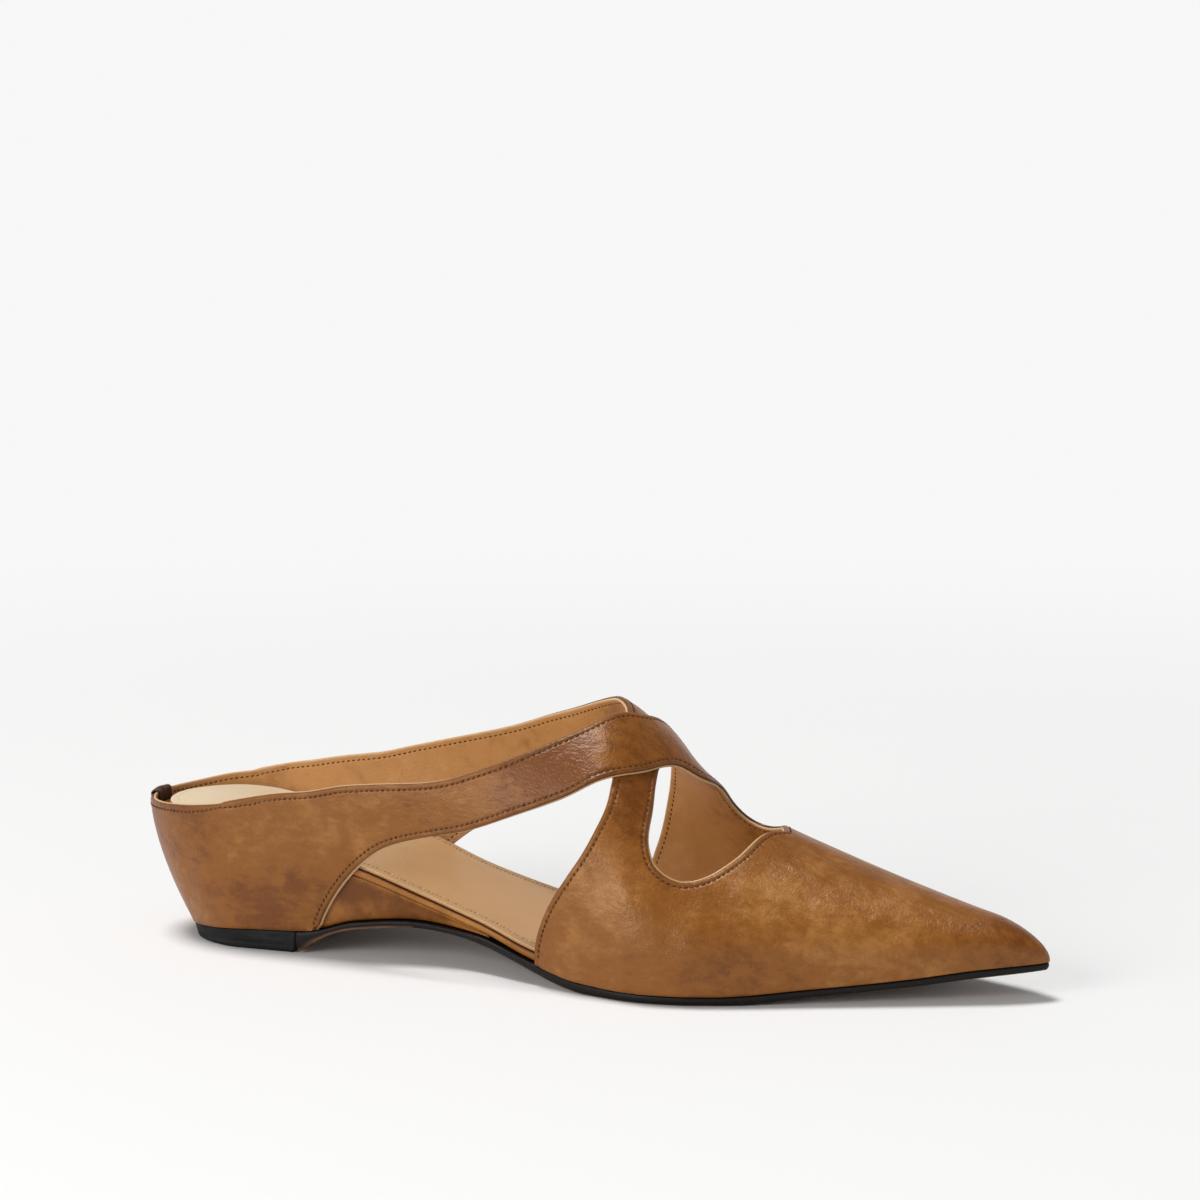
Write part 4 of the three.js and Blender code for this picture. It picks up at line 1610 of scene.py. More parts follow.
@dataclass
class Upper:
    """The straps, heel panels and vamp, with their lining and stitching."""

    last: Last
    pattern: Pattern
    face: Face
    edge_reach: float = 3.4
    edge_tone: float = 0.55
    rim_reach: float = 0.2
    lip: float = 0.5
    lip_reach: float = 0.4
    throat_lip: Triple = (150.0, 156.0, 57.0)
    cut_out_lip: Triple = (68.0, 84.0, 38.5)
    near_side: float = -2.0
    # Patches of tone: partly the leather's own mottling, partly painted highlight (lighter) and
    # painted shade (darker).
    tone_and_light_patches: tuple[ToneLightPatch, ...] = (
        ToneLightPatch(LAT, 71.8, 46, 26, 0.1),
        ToneLightPatch(LAT, 28.7, 30.9, 14, 0.05),
        ToneLightPatch(LAT, 116, 62, 14, -0.2),
        ToneLightPatch(LAT, 24, 15, 10, -0.05),
        ToneLightPatch(LAT, 40, 12, 15, -0.2),
        ToneLightPatch(LAT, 128, 65, 16, -0.16),
        ToneLightPatch(LAT, 145, 68, 10, -0.16),
        ToneLightPatch(LAT, 142, 33, 15, 0.06),
        ToneLightPatch(LAT, 148.7, 53.7, 8, -0.12),
        ToneLightPatch(LAT, 172, 10.8, 17, -0.2),
        ToneLightPatch(LAT, 190, 28.4, 13, 0.18),
        ToneLightPatch(LAT, 199, 36, 9, 0.08),
        ToneLightPatch(LAT, 215, 27.5, 15, 0.16),
        ToneLightPatch(LAT, 238, 20, 13, -0.14),
        ToneLightPatch(LAT, 254, 16, 11, -0.05),
        ToneLightPatch(MED, 150, 30, 16, 0.12),
        ToneLightPatch(MED, 60, 40, 20, 0.1),
        ToneLightPatch(MED, 195, 24, 14, 0.12),
        ToneLightPatch(MED, 30, 12, 14, -0.12),
    )

    def __post_init__(self) -> None:
        """Cuts the pattern and lays it on the last."""
        self.patch = self.pattern.cut_out()
        patch = self.patch
        self.points, self.normals = self.face.frame_at(patch.flat, patch.sheet)
        self.rim = np.flatnonzero(patch.rim)
        self.ring_frames: dict[tuple[float, bool], tuple[Array, Array]] = {}

    def _ring(self, distance: float, proud: bool) -> tuple[Array, Array]:
        """The leather's face at one distance from the cut, all along it.

        Args:
            distance: distance from the cut.
            proud: whether the ring shares in the lip.

        Returns:
            Points on the face and the outward normals there.
        """
        key, patch, rim = (distance, proud), self.patch, self.rim
        if key not in self.ring_frames:
            flat, foot = patch.flat[rim], patch.foot[rim]
            past = np.full(len(foot), distance) - self.lip * self._lip_share(foot) * proud
            moved = foot + (flat - foot) * (past / self.pattern.margin)[:, None]
            self.ring_frames[key] = self.face.frame_at(moved, patch.sheet[rim])
        return self.ring_frames[key]

    def _lip_share(self, foot: Array) -> Array:
        """Where the lining shows past the leather: round the throat and the heel's cut-out.

        Args:
            foot: places of the cut.

        Returns:
            1 where it shows, 0 where it does not.
        """
        points = self.last.point(foot)
        *span, top = self.throat_lip
        throat = smoothstep(foot[:, 0], *span) * (points[:, 2] < top)
        *span, top = self.cut_out_lip
        cut_out = (1 - smoothstep(foot[:, 0], *span)) * (points[:, 2] < top)
        return (throat + cut_out) * (points[:, 1] < self.near_side)

    def _tone(self, points: Array) -> Array:
        """Lighter and darker patches, listed one by one: partly the leather's own mottling, partly
        painted highlight and painted shade.

        Args:
            points: points on the last.

        Returns:
            How much lighter each is.
        """
        tone = np.zeros(len(points))
        for tone_light_patch in self.tone_and_light_patches:
            centre = self.last.point(self.last.flat([(tone_light_patch.side, tone_light_patch.x, tone_light_patch.z)]))[0]
            square = ((points - centre) ** 2).sum(axis=1)
            tone += tone_light_patch.tone * np.exp(-square / tone_light_patch.reach**2)
        return tone

    def _walls(self, ply: Ply) -> tuple[Faces, list[int]]:
        """Joins the outer face of a layer to the inner all round its border.

        Args:
            ply: the layer.

        Returns:
            The faces, and the vertices at the feather line that have a hem.
        """
        patch, count, rings = self.patch, len(self.patch.flat), len(ply.rings)
        number = {int(v): i for i, v in enumerate(self.rim)}
        hem_base = 2 * count + rings * len(self.rim)
        hems: dict[int, int] = {}

        def path(vertex: int, over_cut: bool) -> list[int]:
            """Vertices from the outer face to the inner.

            Args:
                vertex: a vertex of the border.
                over_cut: whether the way leads over a cut edge.

            Returns:
                The vertices in their order.
            """
            if over_cut:
                first = 2 * count + number[vertex]
                between = [first + k * len(self.rim) for k in range(rings)]
            else:
                between = [hems.setdefault(vertex, hem_base + len(hems))] if ply.hem else []
            return [vertex, *between, vertex + count]

        faces = []
        for a, b in open_edges(patch.faces):
            over_cut = bool(patch.rim[a] and patch.rim[b])
            one, two = path(a, over_cut), path(b, over_cut)
            for k in range(len(one) - 1):
                faces.append([two[k], one[k], one[k + 1], two[k + 1]])
        return faces, list(hems)

    def ply(self, ply: Ply) -> Piece:
        """Makes one layer as a closed shell.

        Args:
            ply: its depths and the rings over its cut edge.

        Returns:
            The layer's piece, with its edge and tone stored.
        """
        patch, count, around = self.patch, len(self.patch.flat), len(self.rim)
        own = np.empty(count)
        for sheet, strap, _ in self.pattern.straps():
            pick = patch.sheet == sheet
            own[pick] = strap.cut.nearest(self.last.point(patch.flat[pick]))[0]
        near = 1.0 - own / self.edge_reach
        points = [self.points - self.normals * ply.top, self.points - self.normals * ply.bottom]
        rims, edges = [np.zeros(2 * count)], [near, near]
        for distance, depth in ply.rings:
            at, normal = self._ring(distance, ply is LINING_PLY and distance < self.lip_reach)
            points.append(at - normal * depth)
            raw = distance < self.rim_reach and depth > ply.rim_from
            rims.append(np.full(around, float(raw)))
            edges.append(np.full(around, 1.0 - distance / self.edge_reach))
        faces = [list(face) for face in patch.faces]
        faces += [[v + count for v in reversed(face)] for face in patch.faces]
        walls, low = self._walls(ply)
        faces += walls
        if low:
            middle = self.points[low] - self.normals[low] * (ply.top + ply.bottom) / 2
            points.append(middle - np.array([0.0, 0.0, ply.hem]))
            rims.append(np.ones(len(low)))
            edges.append(np.ones(len(low)))
        every = np.vstack(points)
        piece = from_points(ply.name, self.last.metres(every), faces + holes(faces))
        paint(piece, "rim", np.concatenate(rims))
        paint(piece, "edge", np.clip(np.concatenate(edges), 0, 1) ** 2 * self.edge_tone)
        # the tone holds the patches: partly mottling, partly painted highlight and painted shade
        paint(piece, "tone", self._tone(every))
        return piece


# ---- stitching


@dataclass(frozen=True)
class Stitch:
    """One stitch: a short round thread whose ends dip into the leather."""

    length: float
    width: float
    height: float
    sides: int = 6
    turns: tuple[float, ...] = (-0.94, -0.5, 0.5, 0.94)
    dip: float = -0.55
    lift: float = 0.35
    arch: float = 0.9

    def shape(self) -> tuple[Array, Faces]:
        """The stitch's own shape.

        Returns:
            Points (along, across, up) and faces.
        """
        rows = [(-1.0, 0.0, self.dip)]
        for t in self.turns:
            swell = math.sqrt(1 - t * t)
            for k in range(self.sides):
                angle = 2 * math.pi * k / self.sides
                up = swell * math.sin(angle) + self.lift - self.arch * t * t
                rows.append((t, swell * math.cos(angle), up))
        rows.append((1.0, 0.0, self.dip))
        points = np.array(rows) * (self.length / 2, self.width / 2, self.height / 2)
        faces: Faces = []
        last = len(rows) - 1
        for k in range(self.sides):
            near, far = 1 + k, 1 + (k + 1) % self.sides
            faces.append([0, near, far])
            for row in range(len(self.turns) - 1):
                a, b = near + row * self.sides, far + row * self.sides
                faces.append([a, a + self.sides, b + self.sides, b])
            start = 1 + (len(self.turns) - 1) * self.sides
            faces.append([last, start + (k + 1) % self.sides, start + k])
        return points, faces

    def row(self, name: str, at: Array, along: Array, up: Array) -> Piece:
        """Joins one stitch for each place into a piece.

        Args:
            name: the piece's name.
            at: middles of the stitches in metres.
            along: directions of the thread.
            up: directions off the surface.

        Returns:
            The joined piece.
        """
        shape, faces = self.shape()
        across = unit(np.cross(up, along))
        ways = np.stack([along, across, up], axis=1)
        points = (at[:, None, :] + (shape * MM) @ ways).reshape(-1, 3)
        every = [[v + n * len(shape) for v in face] for n in range(len(at)) for face in faces]
        piece = from_points(name, points, every)
        close_up(piece, 1e-7)
        return piece


@dataclass
class Stitching:
    """The rows that run along every cut edge of the upper, on the leather and on the lining."""

    upper: Upper
    inset: float = 1.75
    pitch: float = 1.7
    first: float = 0.6
    slant: float = 0.22
    tab_room: float = 5.2
    end_room: float = 0.6
    throat_room: float = 6.0
    crossing: Pair = (100.0, 8.0)
    cover: float = 0.3
    seat: float = 0.10
    lining_seat: float = 0.06
    beyond: float = 4.0
    settling: int = 4
    longest_move: float = 3.0
    stitch: Stitch = Stitch(length=1.32, width=0.62, height=0.44)
    lining_stitch: Stitch = Stitch(length=1.15, width=0.50, height=0.34)

    def _inset_line(self, strap: Strap, edge: Array) -> Array:
        """The line that keeps its distance from a cut edge.

        Args:
            strap: the strap that has the edge.
            edge: the edge on the flat pattern.

        Returns:
            The line on the flat pattern.
        """
        last = self.upper.last
        edge = edge[(edge[:, 1] > -self.beyond) & (edge[:, 1] < 2 * last.rib + self.beyond)]
        points = last.point(edge)
        across = unit(np.cross(last.outward(edge), np.gradient(points, axis=0)))
        flat = edge.copy()
        for _ in range(self.settling):
            along, up = last.slopes(flat)
            gap = points + across * self.inset - last.point(flat)
            aa, bb, ab = (along**2).sum(1), (up**2).sum(1), (along * up).sum(1)
            ga, gb = (gap * along).sum(1), (gap * up).sum(1)
            area = np.maximum(aa * bb - ab**2, SMALL)
            move = np.stack([(ga * bb - gb * ab) / area, (gb * aa - ga * ab) / area], axis=1)
            flat += np.clip(move, -self.longest_move, self.longest_move)
        mostly_inside = inside(flat, strap.outline).mean() >= 0.5
        return flat if mostly_inside else 2 * edge - flat

    def _spots(self, number: int, strap: Strap, edge: Array) -> Array:
        """Places of the stitches along one edge.

        Args:
            number: number of the strap.
            strap: the strap that has the edge.
            edge: the edge on the flat pattern.

        Returns:
            A place on the flat pattern for each stitch.
        """
        last = self.upper.last
        flat = self._inset_line(strap, edge)
        place, rib = flat.T
        keep = (rib > self.end_room) & (rib < 2 * last.rib - self.end_room)
        own_half = rib >= last.rib if number == 0 else rib <= last.rib
        keep &= (place < self.upper.pattern.throat_x - self.throat_room) | own_half
        keep &= place > last.seam + self.tab_room
        runs = runs_of(last.point(flat[keep]))
        return at_runs(flat[keep], runs, np.arange(self.pitch * self.first, runs[-1], self.pitch))

    def _rows(self, lining: bool) -> tuple[Array, Array, Array]:
        """All the stitches on one face that the other strap doesn't hide.

        Args:
            lining: whether the face is the lining's.

        Returns:
            Middles, directions and outward normals.
        """
        last, pattern = self.upper.last, self.upper.pattern
        begin, room = self.crossing
        hidden_strap = 0 if lining else 1
        depth = LINING_PLY.bottom - self.lining_seat if lining else self.seat
        found: list[tuple[Array, Array, Array]] = []
        for number, strap, other in pattern.straps():
            for edge in (strap.rear_line, strap.front_line):
                spots = self._spots(number, strap, edge)
                seen = (spots[:, 0] <= begin) | (spots[:, 0] >= pattern.throat_x - room)
                seen |= other.depth(spots, last.point(spots)) <= -self.cover
                seen |= number != hidden_strap
                sheet = np.full(len(spots), float(number))
                points, normals = self.upper.face.frame_at(spots, sheet)
                along = unit(np.gradient(points, axis=0))
                points = points - normals * depth
                up = -normals if lining else normals
                found.append((points[seen], along[seen], up[seen]))
        at, along, up = (np.vstack(part) for part in zip(*found))
        return at, unit(along + np.cross(up, along) * self.slant), up

    def build(self, lining: bool) -> Piece:
        """Makes the rows on one face.

        Args:
            lining: whether the face is the lining's, and not the leather's.

        Returns:
            The piece.
        """
        at, along, up = self._rows(lining)
        name = "stitches_lining" if lining else "stitches_leather"
        stitch = self.lining_stitch if lining else self.stitch
        return stitch.row(name, self.upper.last.metres(at), along, up)


@dataclass
class HeelTab:
    """The dark strip that is folded over the topline at the back seam."""

    upper: Upper
    half_width: float = 4.6
    outside: float = 4.5
    inside: float = 3.6
    rise: float = 0.45
    wall: float = 1.83
    lift: float = 0.05
    thickness: float = 0.45
    narrowing: float = 0.12
    soften: float = 0.14
    columns: int = 17
    outer_rows: int = 8
    inner_rows: int = 7
    fold_rows: int = 7
    edge_points: int = 40

    def _column(self, share: float) -> Array:
        """Points of the fold at one place across the strip.

        Args:
            share: the place, from -1 at the lateral end to 1 at the medial.

        Returns:
            The points, outer end first.
        """
        last, pattern, lateral = self.upper.last, self.upper.pattern, share < 0
        edge = (pattern.upper if lateral else pattern.under).rear_line[:self.edge_points]
        rows = self.outer_rows
        outside, inside = (self.outside, 0, rows), (0, self.inside, self.inner_rows)
        drops = np.concatenate([np.linspace(*outside), np.linspace(*inside)])
        narrow = 1 - self.narrowing * (drops / self.outside) ** 4
        place = last.seam + abs(share) * self.half_width * narrow
        flat = np.stack([place, np.interp(place, edge[:, 0], edge[:, 1])], axis=1)
        per_rib = np.linalg.norm(last.slopes(flat)[1], axis=1)
        flat[:, 1] += (-drops if lateral else drops) / per_rib
        sheet = np.full(len(flat), 0.0 if lateral else 1.0)
        at, normals = self.upper.face.frame_at(flat, sheet)
        outer = at[:rows] + normals[:rows] * self.lift
        inner = at[rows:] - normals[rows:] * self.wall
        middle, radius = (outer[-1] + inner[0]) / 2, (outer[-1] - inner[0]) / 2
        turn = np.linspace(0, math.pi, self.fold_rows + 2)[1:-1, None]
        fold = middle + radius * np.cos(turn) + np.array([0, 0, self.rise]) * np.sin(turn)
        return np.vstack([outer, fold, inner])

    def build(self) -> Piece:
        """Makes the folded strip with its thickness and soft edges.

        Returns:
            The piece.
        """
        shares = np.linspace(-1, 1, self.columns)
        points = np.stack([self._column(share) for share in shares], axis=1)
        piece = grid_piece("heel_tab", self.upper.last.metres(points))
        outwards = -math.copysign(1.0, piece.data.polygons[0].normal.x)
        add_modifier(piece, "SOLIDIFY", thickness=self.thickness * MM, offset=outwards)
        add_modifier(piece, "BEVEL", width=self.soften * MM, segments=2)
        close_up(piece)
        paint(piece, "tone", np.zeros(len(piece.data.vertices)))
        return piece


# ---- beds: sock, board, wedge, sole and heel

Height = Callable[[Array], Array]
Steps = tuple[Pair, ...]


@dataclass(frozen=True)
class Level:
    """One outline of a bed, at a height, inside the last, drawn in to the spine by a share."""

    height: Height
    inwards: float
    draw: float = 0.0
    crown: float = 0.0


@dataclass
class Bed:
    """A piece that follows the last's plan, built up from levels, bottom first."""

    last: Last
    name: str
    levels: list[Level]
    stop: float
    spine: Pair
    start: float | None = None
    gap: float = 0.0
    stations: int = 110
    crowding: float = 0.7
    settling: int = 8

    def outline(self, level: Level, least: float) -> Array:
        """The closed outline of one level.

        Args:
            level: the level.
            least: how far inwards the widest level lies.

        Returns:
            Its points, along the lateral side to the toe and back along the medial.
        """
        last, height, inwards = self.last, level.height, level.inwards
        if self.start is None:
            back = np.array(last.pivot_x - last.back_radius)
            for _ in range(self.settling):
                back = last.back_x(height(back), inwards) + self.gap
            begin = float(back)
        else:
            begin = self.start + inwards - least
        end = self.stop - (inwards - least)
        t = np.linspace(0, 1, self.stations)
        crowded = (1 - np.cos(t * math.pi)) / 2
        x = begin + (end - begin) * ((1 - self.crowding) * t + self.crowding * crowded)
        z = height(x)
        lateral, medial = (
            side * last.plan_half(x, z, np.float64(side), inwards, self.gap) for side in (-1, 1)
        )
        loop_x = np.concatenate([x, x[::-1]])
        loop_y = np.concatenate([lateral, medial[::-1]])
        moved = loop_x + (np.clip(loop_x, *self.spine) - loop_x) * level.draw
        return np.stack([moved, loop_y * (1 - level.draw), height(moved) + level.crown], axis=1)

    def build(self) -> Piece:
        """Makes the closed piece.

        Returns:
            The piece.
        """
        least = min(level.inwards for level in self.levels)
        rings = np.array([self.outline(level, least) for level in self.levels])
        rings = np.concatenate([rings, rings[:, :1]], axis=1)
        piece = grid_piece(self.name, self.last.metres(rings))
        close_up(piece)
        return piece


def between(low: Height, high: Height, share: float) -> Height:
    """Height at a share of the way between two faces."""
    return lambda x: low(x) + (high(x) - low(x)) * share


def flat_levels(height: Height, inwards: float, *draws: float) -> list[Level]:
    """Levels across a face, one for each share of the way to the spine."""
    return [Level(height, inwards, draw) for draw in draws]


def side_levels(low: Height, high: Height, inwards: float, steps: Steps) -> list[Level]:
    """Levels up a side, one for each share of its height and further distance inwards."""
    return [Level(between(low, high, share), inwards + more) for share, more in steps]


def ground(x: Array) -> Array:
    """The floor's height."""
    return 0.0 * x


def local(piece: Piece, last: Last) -> Array:
    """A piece's vertices in the last's millimetres."""
    return vertex_rows(piece, "co").astype(float) / MM - last.shift


@dataclass
class Footbed:
    """The sock, its board and the wedge under it."""

    last: Last
    wall: float = 2.1
    sock_thickness: float = 1.2
    pad: float = 1.2
    pad_end: float = 60.0
    sock_inset: float = 0.8
    sock_gap: float = 3.6
    board_thickness: float = 2.2
    clearance: float = 0.3
    wedge_front: float = 103.0
    sock_front: float = 251.0
    board_front: float = 254.0
    sock_spine: Pair = (14.0, 225.0)
    board_spine: Pair = (14.0, 230.0)
    wedge_spine: Pair = (14.0, 90.0)
    sock_side: Steps = ((0.1, 0.15), (0.35, 0.0), (0.62, 0.0), (0.8, 0.09), (0.93, 0.28))
    sock_roll: Steps = (
        (0.6, 0.0), (1.2, 0.05), (2.2, 0.10), (2.7, 0.08), (3.0, -0.04), (3.3, 0.08), (4.2, 0.12),
    )
    sock_draws: tuple[float, ...] = (0.15, 0.3, 0.45, 0.6, 0.75, 0.9, 1.0)
    sock_crown: float = 0.5
    board_side: Steps = (
        (0.06, 0.2), (0.2, 0.03), (0.45, 0.0), (0.72, 0.02), (0.88, 0.12), (0.97, 0.32),
    )
    wedge_side: Steps = (
        (0.0, 0.1), (0.05, 0.0), (0.2, 0.12), (0.35, 0.28), (0.5, 0.36), (0.65, 0.34), (0.8, 0.2),
        (0.92, 0.05), (0.98, 0.08),
    )
    wedge_clearance: float = 0.1
    waist: Pair = (40.0, 74.0)
    # fold_shade darkens the sock's turned-down side: painted shade of the gap over the board.
    fold_depth: float = 0.45
    fold_shade: float = 0.8
    # The board's top is painted darker: painted shade under the sock.
    board_tone_and_top_shade: Pair = (0.10, 0.34)
    board_top_shade_band: Pair = (0.75, 1.0)
    # The wedge's top edge is painted lighter: a painted highlight.
    wedge_tone_and_top_highlight: Pair = (-0.12, -0.10)
    wedge_top_highlight_band: Pair = (0.86, 0.98)
    dot_count: int = 400
    dot_lift: float = 0.12
    dot: Stitch = Stitch(length=0.72, width=0.62, height=0.40)
    dot_pitch: float = 1.3
    dot_inset: float = 3.0
    dots_from: float = 60.0
    dots_to: float = 240.0

    def sock_bottom(self, x: Array) -> Array:
        """Underside of the sock."""
        pad = self.pad * (1 - smoothstep(x, 0, self.pad_end))
        return self.last.footbed_z(x) - self.sock_thickness - pad

    def board_top(self, x: Array) -> Array:
        """Upper face of the board."""
        return self.sock_bottom(x) - self.clearance

    def board_bottom(self, x: Array) -> Array:
        """Underside of the board."""
        return self.board_top(x) - self.board_thickness

    def wedge_top(self, x: Array) -> Array:
        """Upper face of the wedge."""
        return self.board_bottom(x) - self.wedge_clearance

    def sock(self) -> Piece:
        """Makes the padded sock with its rolled edge and a pressed line, its turned-down side
        painted darker as painted shade.

        Returns:
            The piece.
        """
        top, low, base = self.last.footbed_z, self.sock_bottom, self.wall + self.sock_inset
        rows = flat_levels(low, base + 0.5, 1.0, 0.6, 0.2, 0.0)
        rows += side_levels(low, top, base, self.sock_side)
        rows += [Level(top, base + inwards, 0.0, crown) for inwards, crown in self.sock_roll]
        inwards, crown = self.sock_roll[-1]
        for draw in self.sock_draws:
            more = self.sock_crown * draw * (2 - draw)
            rows.append(Level(top, base + inwards, draw, crown + more))
        bed = Bed(
            self.last, "sock_pad", rows, self.sock_front, self.sock_spine, gap=self.sock_gap,
            stations=130,
        )
        piece = bed.build()
        at = local(piece, self.last)
        paint(piece, "waist", smoothstep(at[:, 0], *self.waist))
        # The sock's side below its roll is painted darker: painted shade of the gap over the board.
        folded = at[:, 2] < top(at[:, 0]) - self.fold_depth
        paint(piece, "rim", folded * self.fold_shade)
        return piece

    def dots(self) -> Piece:
        """Makes the raised dots that follow the sock's edges along the waist.

        Returns:
            The piece.
        """
        base, count = self.wall + self.sock_inset, self.dot_count
        bed = Bed(
            self.last, "", [], self.sock_front, self.sock_spine, gap=self.sock_gap, stations=count,
        )
        outline = bed.outline(Level(self.last.footbed_z, base + self.dot_inset), base)
        found = []
        for half in (outline[:count], outline[:count - 1:-1]):
            row = half[(half[:, 0] > self.dots_from) & (half[:, 0] < self.dots_to)]
            runs = runs_of(row)
            spots = at_runs(row, runs, np.arange(0, runs[-1], self.dot_pitch))
            way = unit(np.gradient(spots, axis=0))
            up = unit(np.stack([-way[:, 2], np.zeros(len(way)), way[:, 0]], axis=1))
            found.append((spots + up * self.dot_lift, way, up))
        at, along, up = (np.vstack(part) for part in zip(*found))
        return self.dot.row("sock_dots", self.last.metres(at), along, up)

    def board(self) -> Piece:
        """Makes the board, wrapped and round at its edge, its top painted darker as painted shade
        under the sock.

        Returns:
            The piece.
        """
        low, high = self.board_bottom, self.board_top
        rows = flat_levels(low, self.wall + 0.5, 1.0, 0.4, 0.0)
        rows += side_levels(low, high, self.wall, self.board_side)
        rows += flat_levels(high, self.wall + 0.6, 0.0, 0.4, 1.0)
        piece = Bed(self.last, "board_wrap", rows, self.board_front, self.board_spine).build()
        at = local(piece, self.last)
        share = (at[:, 2] - low(at[:, 0])) / self.board_thickness
        # The board's top is painted darker: painted shade under the sock.
        tone, shade = self.board_tone_and_top_shade
        paint(piece, "tone", tone - shade * smoothstep(share, *self.board_top_shade_band))
        return piece

    def wedge(self) -> Piece:
        """Makes the wedge, wrapped in leather that is pulled a little hollow along the waist, its
        top edge painted lighter as a painted highlight.

        Returns:
            The piece.
        """
        low, high = self.last.feather_z, self.wedge_top
        rows = flat_levels(low, self.wall + 0.4, 1.0, 0.0)
        rows += side_levels(low, high, self.wall, self.wedge_side)
        rows += flat_levels(high, self.wall + 0.5, 0.0, 1.0)
        bed = Bed(
            self.last, "wedge_wrap", rows, self.wedge_front, self.wedge_spine, stations=90,
            crowding=0.5,
        )
        piece = bed.build()
        at = local(piece, self.last)
        rise = np.maximum(high(at[:, 0]) - low(at[:, 0]), 0.5)
        share = (at[:, 2] - low(at[:, 0])) / rise
        # shade is negative here: the wedge's top edge is painted lighter, a painted highlight.
        tone, shade = self.wedge_tone_and_top_highlight
        paint(piece, "tone", tone - shade * smoothstep(share, *self.wedge_top_highlight_band))
        return piece


@dataclass
class Bottom:
    """The sole and the heel block."""

    last: Last
    breast: float = 41.5
    inset: float = 0.3
    clearance: float = 0.3
    breast_face: float = 62.0
    breast_reach: float = 78.0
    breast_share: float = 0.35
    under_turn: Pair = (0.72, 0.95)
    sole_spine: Pair = (60.0, 236.0)
    heel_spine: Pair = (14.0, 30.0)
    sole_side: Steps = (
        (0.05, 0.9), (0.2, 0.55), (0.45, 0.3), (0.75, 0.3), (0.92, 0.36), (1.0, 0.6),
    )
    heel_side: Steps = (
        (0.03, 1.3), (0.12, 1.12), (0.30, 0.95), (0.335, 1.05), (0.37, 0.92), (0.6, 0.65),
        (0.9, 0.35), (0.98, 0.42),
    )

    def top(self, x: Array) -> Array:
        """Upper face of the sole and the heel."""
        return self.last.feather_z(x) - self.clearance

    def sole(self) -> Piece:
        """Makes the sole, inked at its edge.

        Returns:
            The piece, with its natural brown faces marked.
        """
        low = self.last.underside_z
        rows = flat_levels(low, 1.3, 1.0, 0.7, 0.4, 0.15, 0.0)
        rows += side_levels(low, self.top, 0.0, self.sole_side)
        rows += flat_levels(self.top, 0.9, 0.0, 0.5, 1.0)
        bed = Bed(
            self.last, "sole", rows, self.last.toe_x - self.inset, self.sole_spine,
            start=self.breast, stations=150,
        )
        piece = bed.build()
        x, up = local(piece, self.last)[:, 0], vertex_rows(piece, "normal")
        breast = np.where(x < self.breast_face, np.maximum(up[:, 0], 0), 0)
        down = breast - up[:, 2] + self.breast_share * (x < self.breast_reach)
        paint(piece, "under", smoothstep(down, *self.under_turn))
        return piece

    def heel(self) -> Piece:
        """Makes the heel block with its tread.

        Returns:
            The piece.
        """
        rows = flat_levels(ground, 1.6, 1.0, 0.5, 0.0)
        rows += side_levels(ground, self.top, 0.0, self.heel_side)
        rows += flat_levels(self.top, 0.7, 0.0, 0.5, 1.0)
        bed = Bed(
            self.last, "heel_block", rows, self.breast - self.clearance, self.heel_spine,
            stations=80, crowding=0.4,
        )
        return bed.build()


# ---- the studio


@dataclass(frozen=True)
class SoftBox:
    """A square light that faces the shoe."""

    name: str
    at: Triple
    size: float
    power: float
    tint: Colour


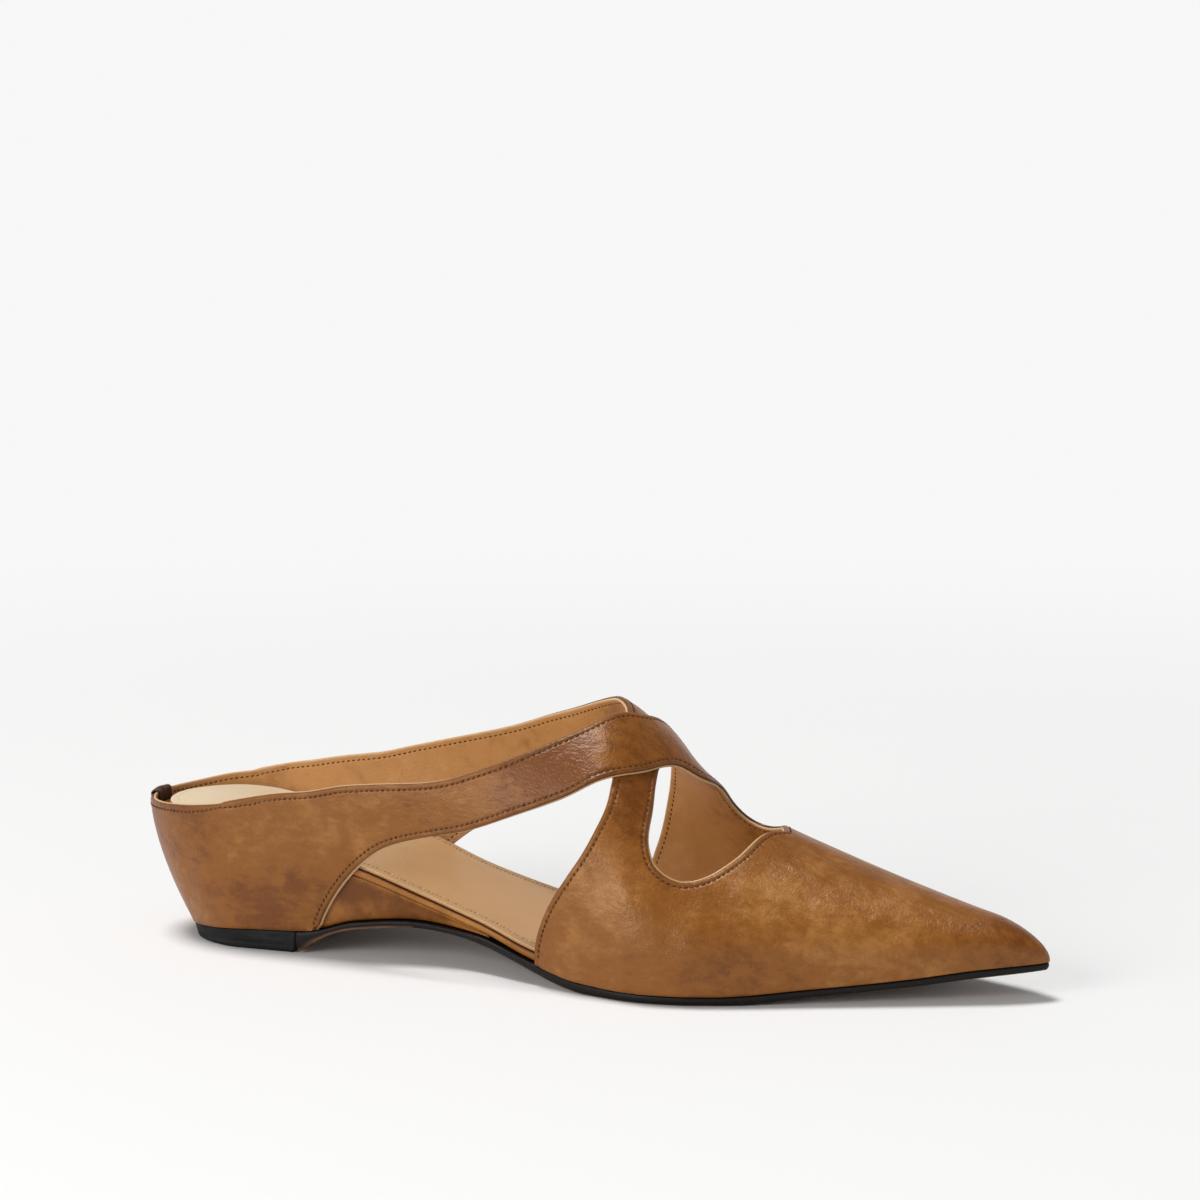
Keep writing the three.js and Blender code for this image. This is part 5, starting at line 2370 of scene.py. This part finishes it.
@dataclass
class Stage:
    """Floor, sweep, lights and camera."""

    camera_at: Triple = (0.326283, -0.891165, 0.243203)
    camera_turn: Triple = (81.7844, 0.0, 19.7637)
    lens: float = 100.0
    sensor: float = 36.0
    sun_turn: Triple = (-3.0, -14.0, 0.0)
    sun_strength: float = 2.50
    sun_angle: float = 18.0
    sky_strength: float = 0.16
    boxes: tuple[SoftBox, ...] = (
        SoftBox("front", (-0.75, -1.5, 0.70), 0.85, 15.0, (1.0, 0.98, 0.95)),
        SoftBox("top", (-0.15, -0.25, 1.4), 1.0, 1.2, (1.0, 0.99, 0.97)),
    )
    aim_height: float = 0.03
    floor_size: float = 30.0
    wall_radius: float = 8.0
    wall_height: float = 3.0

    def floor(self) -> None:
        """A wide floor and a round wall of the same paper."""
        deselect()
        bpy.ops.mesh.primitive_plane_add(size=self.floor_size)
        floor = bpy.context.object
        floor.name = "floor"
        paper = Studio().material()
        floor.data.materials.append(paper)
        deselect()
        bpy.ops.mesh.primitive_cylinder_add(
            vertices=96, radius=self.wall_radius, depth=self.wall_height,
            location=(0, 0, self.wall_height / 2), end_fill_type="NOTHING",
        )
        wall = bpy.context.object
        wall.name = "wall"
        wall.data.materials.append(paper)

    def _hang(self, name: str, data: bpy.types.ID, turn: Triple | None = None) -> Piece:
        """Puts a light or a camera into the scene.

        Args:
            name: its name.
            data: the light or the camera.
            turn: its turns about the axes in degrees.

        Returns:
            The object.
        """
        thing = bpy.data.objects.new(name, data)
        bpy.context.scene.collection.objects.link(thing)
        if turn is not None:
            thing.rotation_euler = [math.radians(value) for value in turn]
        return thing

    def light(self, box: SoftBox) -> None:
        """Hangs a soft box so that it faces the shoe.

        Args:
            box: its place, size, power and tint.
        """
        data = bpy.data.lights.new(box.name, "AREA")
        data.size, data.energy, data.color = box.size, box.power, box.tint
        lamp = self._hang(box.name, data)
        lamp.location = box.at
        aim = lamp.location.copy()
        aim.z -= self.aim_height
        lamp.rotation_euler = aim.to_track_quat("Z", "Y").to_euler()

    def sun(self) -> None:
        """Hangs the broad even light from above."""
        data = bpy.data.lights.new("key", "SUN")
        data.energy, data.angle = self.sun_strength, math.radians(self.sun_angle)
        self._hang("key", data, self.sun_turn)

    def build(self) -> None:
        """Sets everything up."""
        self.floor()
        scene = bpy.context.scene
        scene.world = bpy.data.worlds.new("studio")
        scene.world.use_nodes = True
        background = scene.world.node_tree.nodes["Background"]
        background.inputs["Color"].default_value = (*WHITE, 1.0)
        background.inputs["Strength"].default_value = self.sky_strength
        self.sun()
        for box in self.boxes:
            self.light(box)
        data = bpy.data.cameras.new("camera")
        data.lens, data.sensor_width = self.lens, self.sensor
        scene.camera = self._hang("camera", data, self.camera_turn)
        scene.camera.location = self.camera_at
        scene.view_settings.view_transform = "Standard"


def main() -> None:
    """Builds the shoe and its studio."""
    logging.basicConfig(level=logging.INFO, format="%(message)s")
    last = Last()
    log.info("origin of the last: %s mm", np.round(last.shift, 3))
    pattern = Pattern(last)
    upper = Upper(last, pattern, Face(pattern))
    finish_piece(upper.ply(OUTER_PLY), BurnishedLeather().material(), ["upper"])
    finish_piece(upper.ply(LINING_PLY), LiningLeather().material())
    stitching = Stitching(upper)
    thread = BROWN_THREAD.material()
    finish_piece(stitching.build(False), thread)
    finish_piece(stitching.build(True), thread)
    finish_piece(HeelTab(upper).build(), TAB_LEATHER.material())
    footbed = Footbed(last)
    sock = finish_piece(footbed.sock(), SockLeather().material(), ["sock"])
    finish_piece(footbed.dots(), DOT_LEATHER.material())
    wrap = WrapLeather().material()
    finish_piece(footbed.board(), wrap, ["insole_board"])
    finish_piece(footbed.wedge(), wrap, ["wedge"])
    bottom = Bottom(last)
    finish_piece(bottom.sole(), SoleLeather().material(), ["outsole"])
    finish_piece(bottom.heel(), HeelRubber().material(), ["heel"])
    Stage().build()


if __name__ == "__main__":
    main()
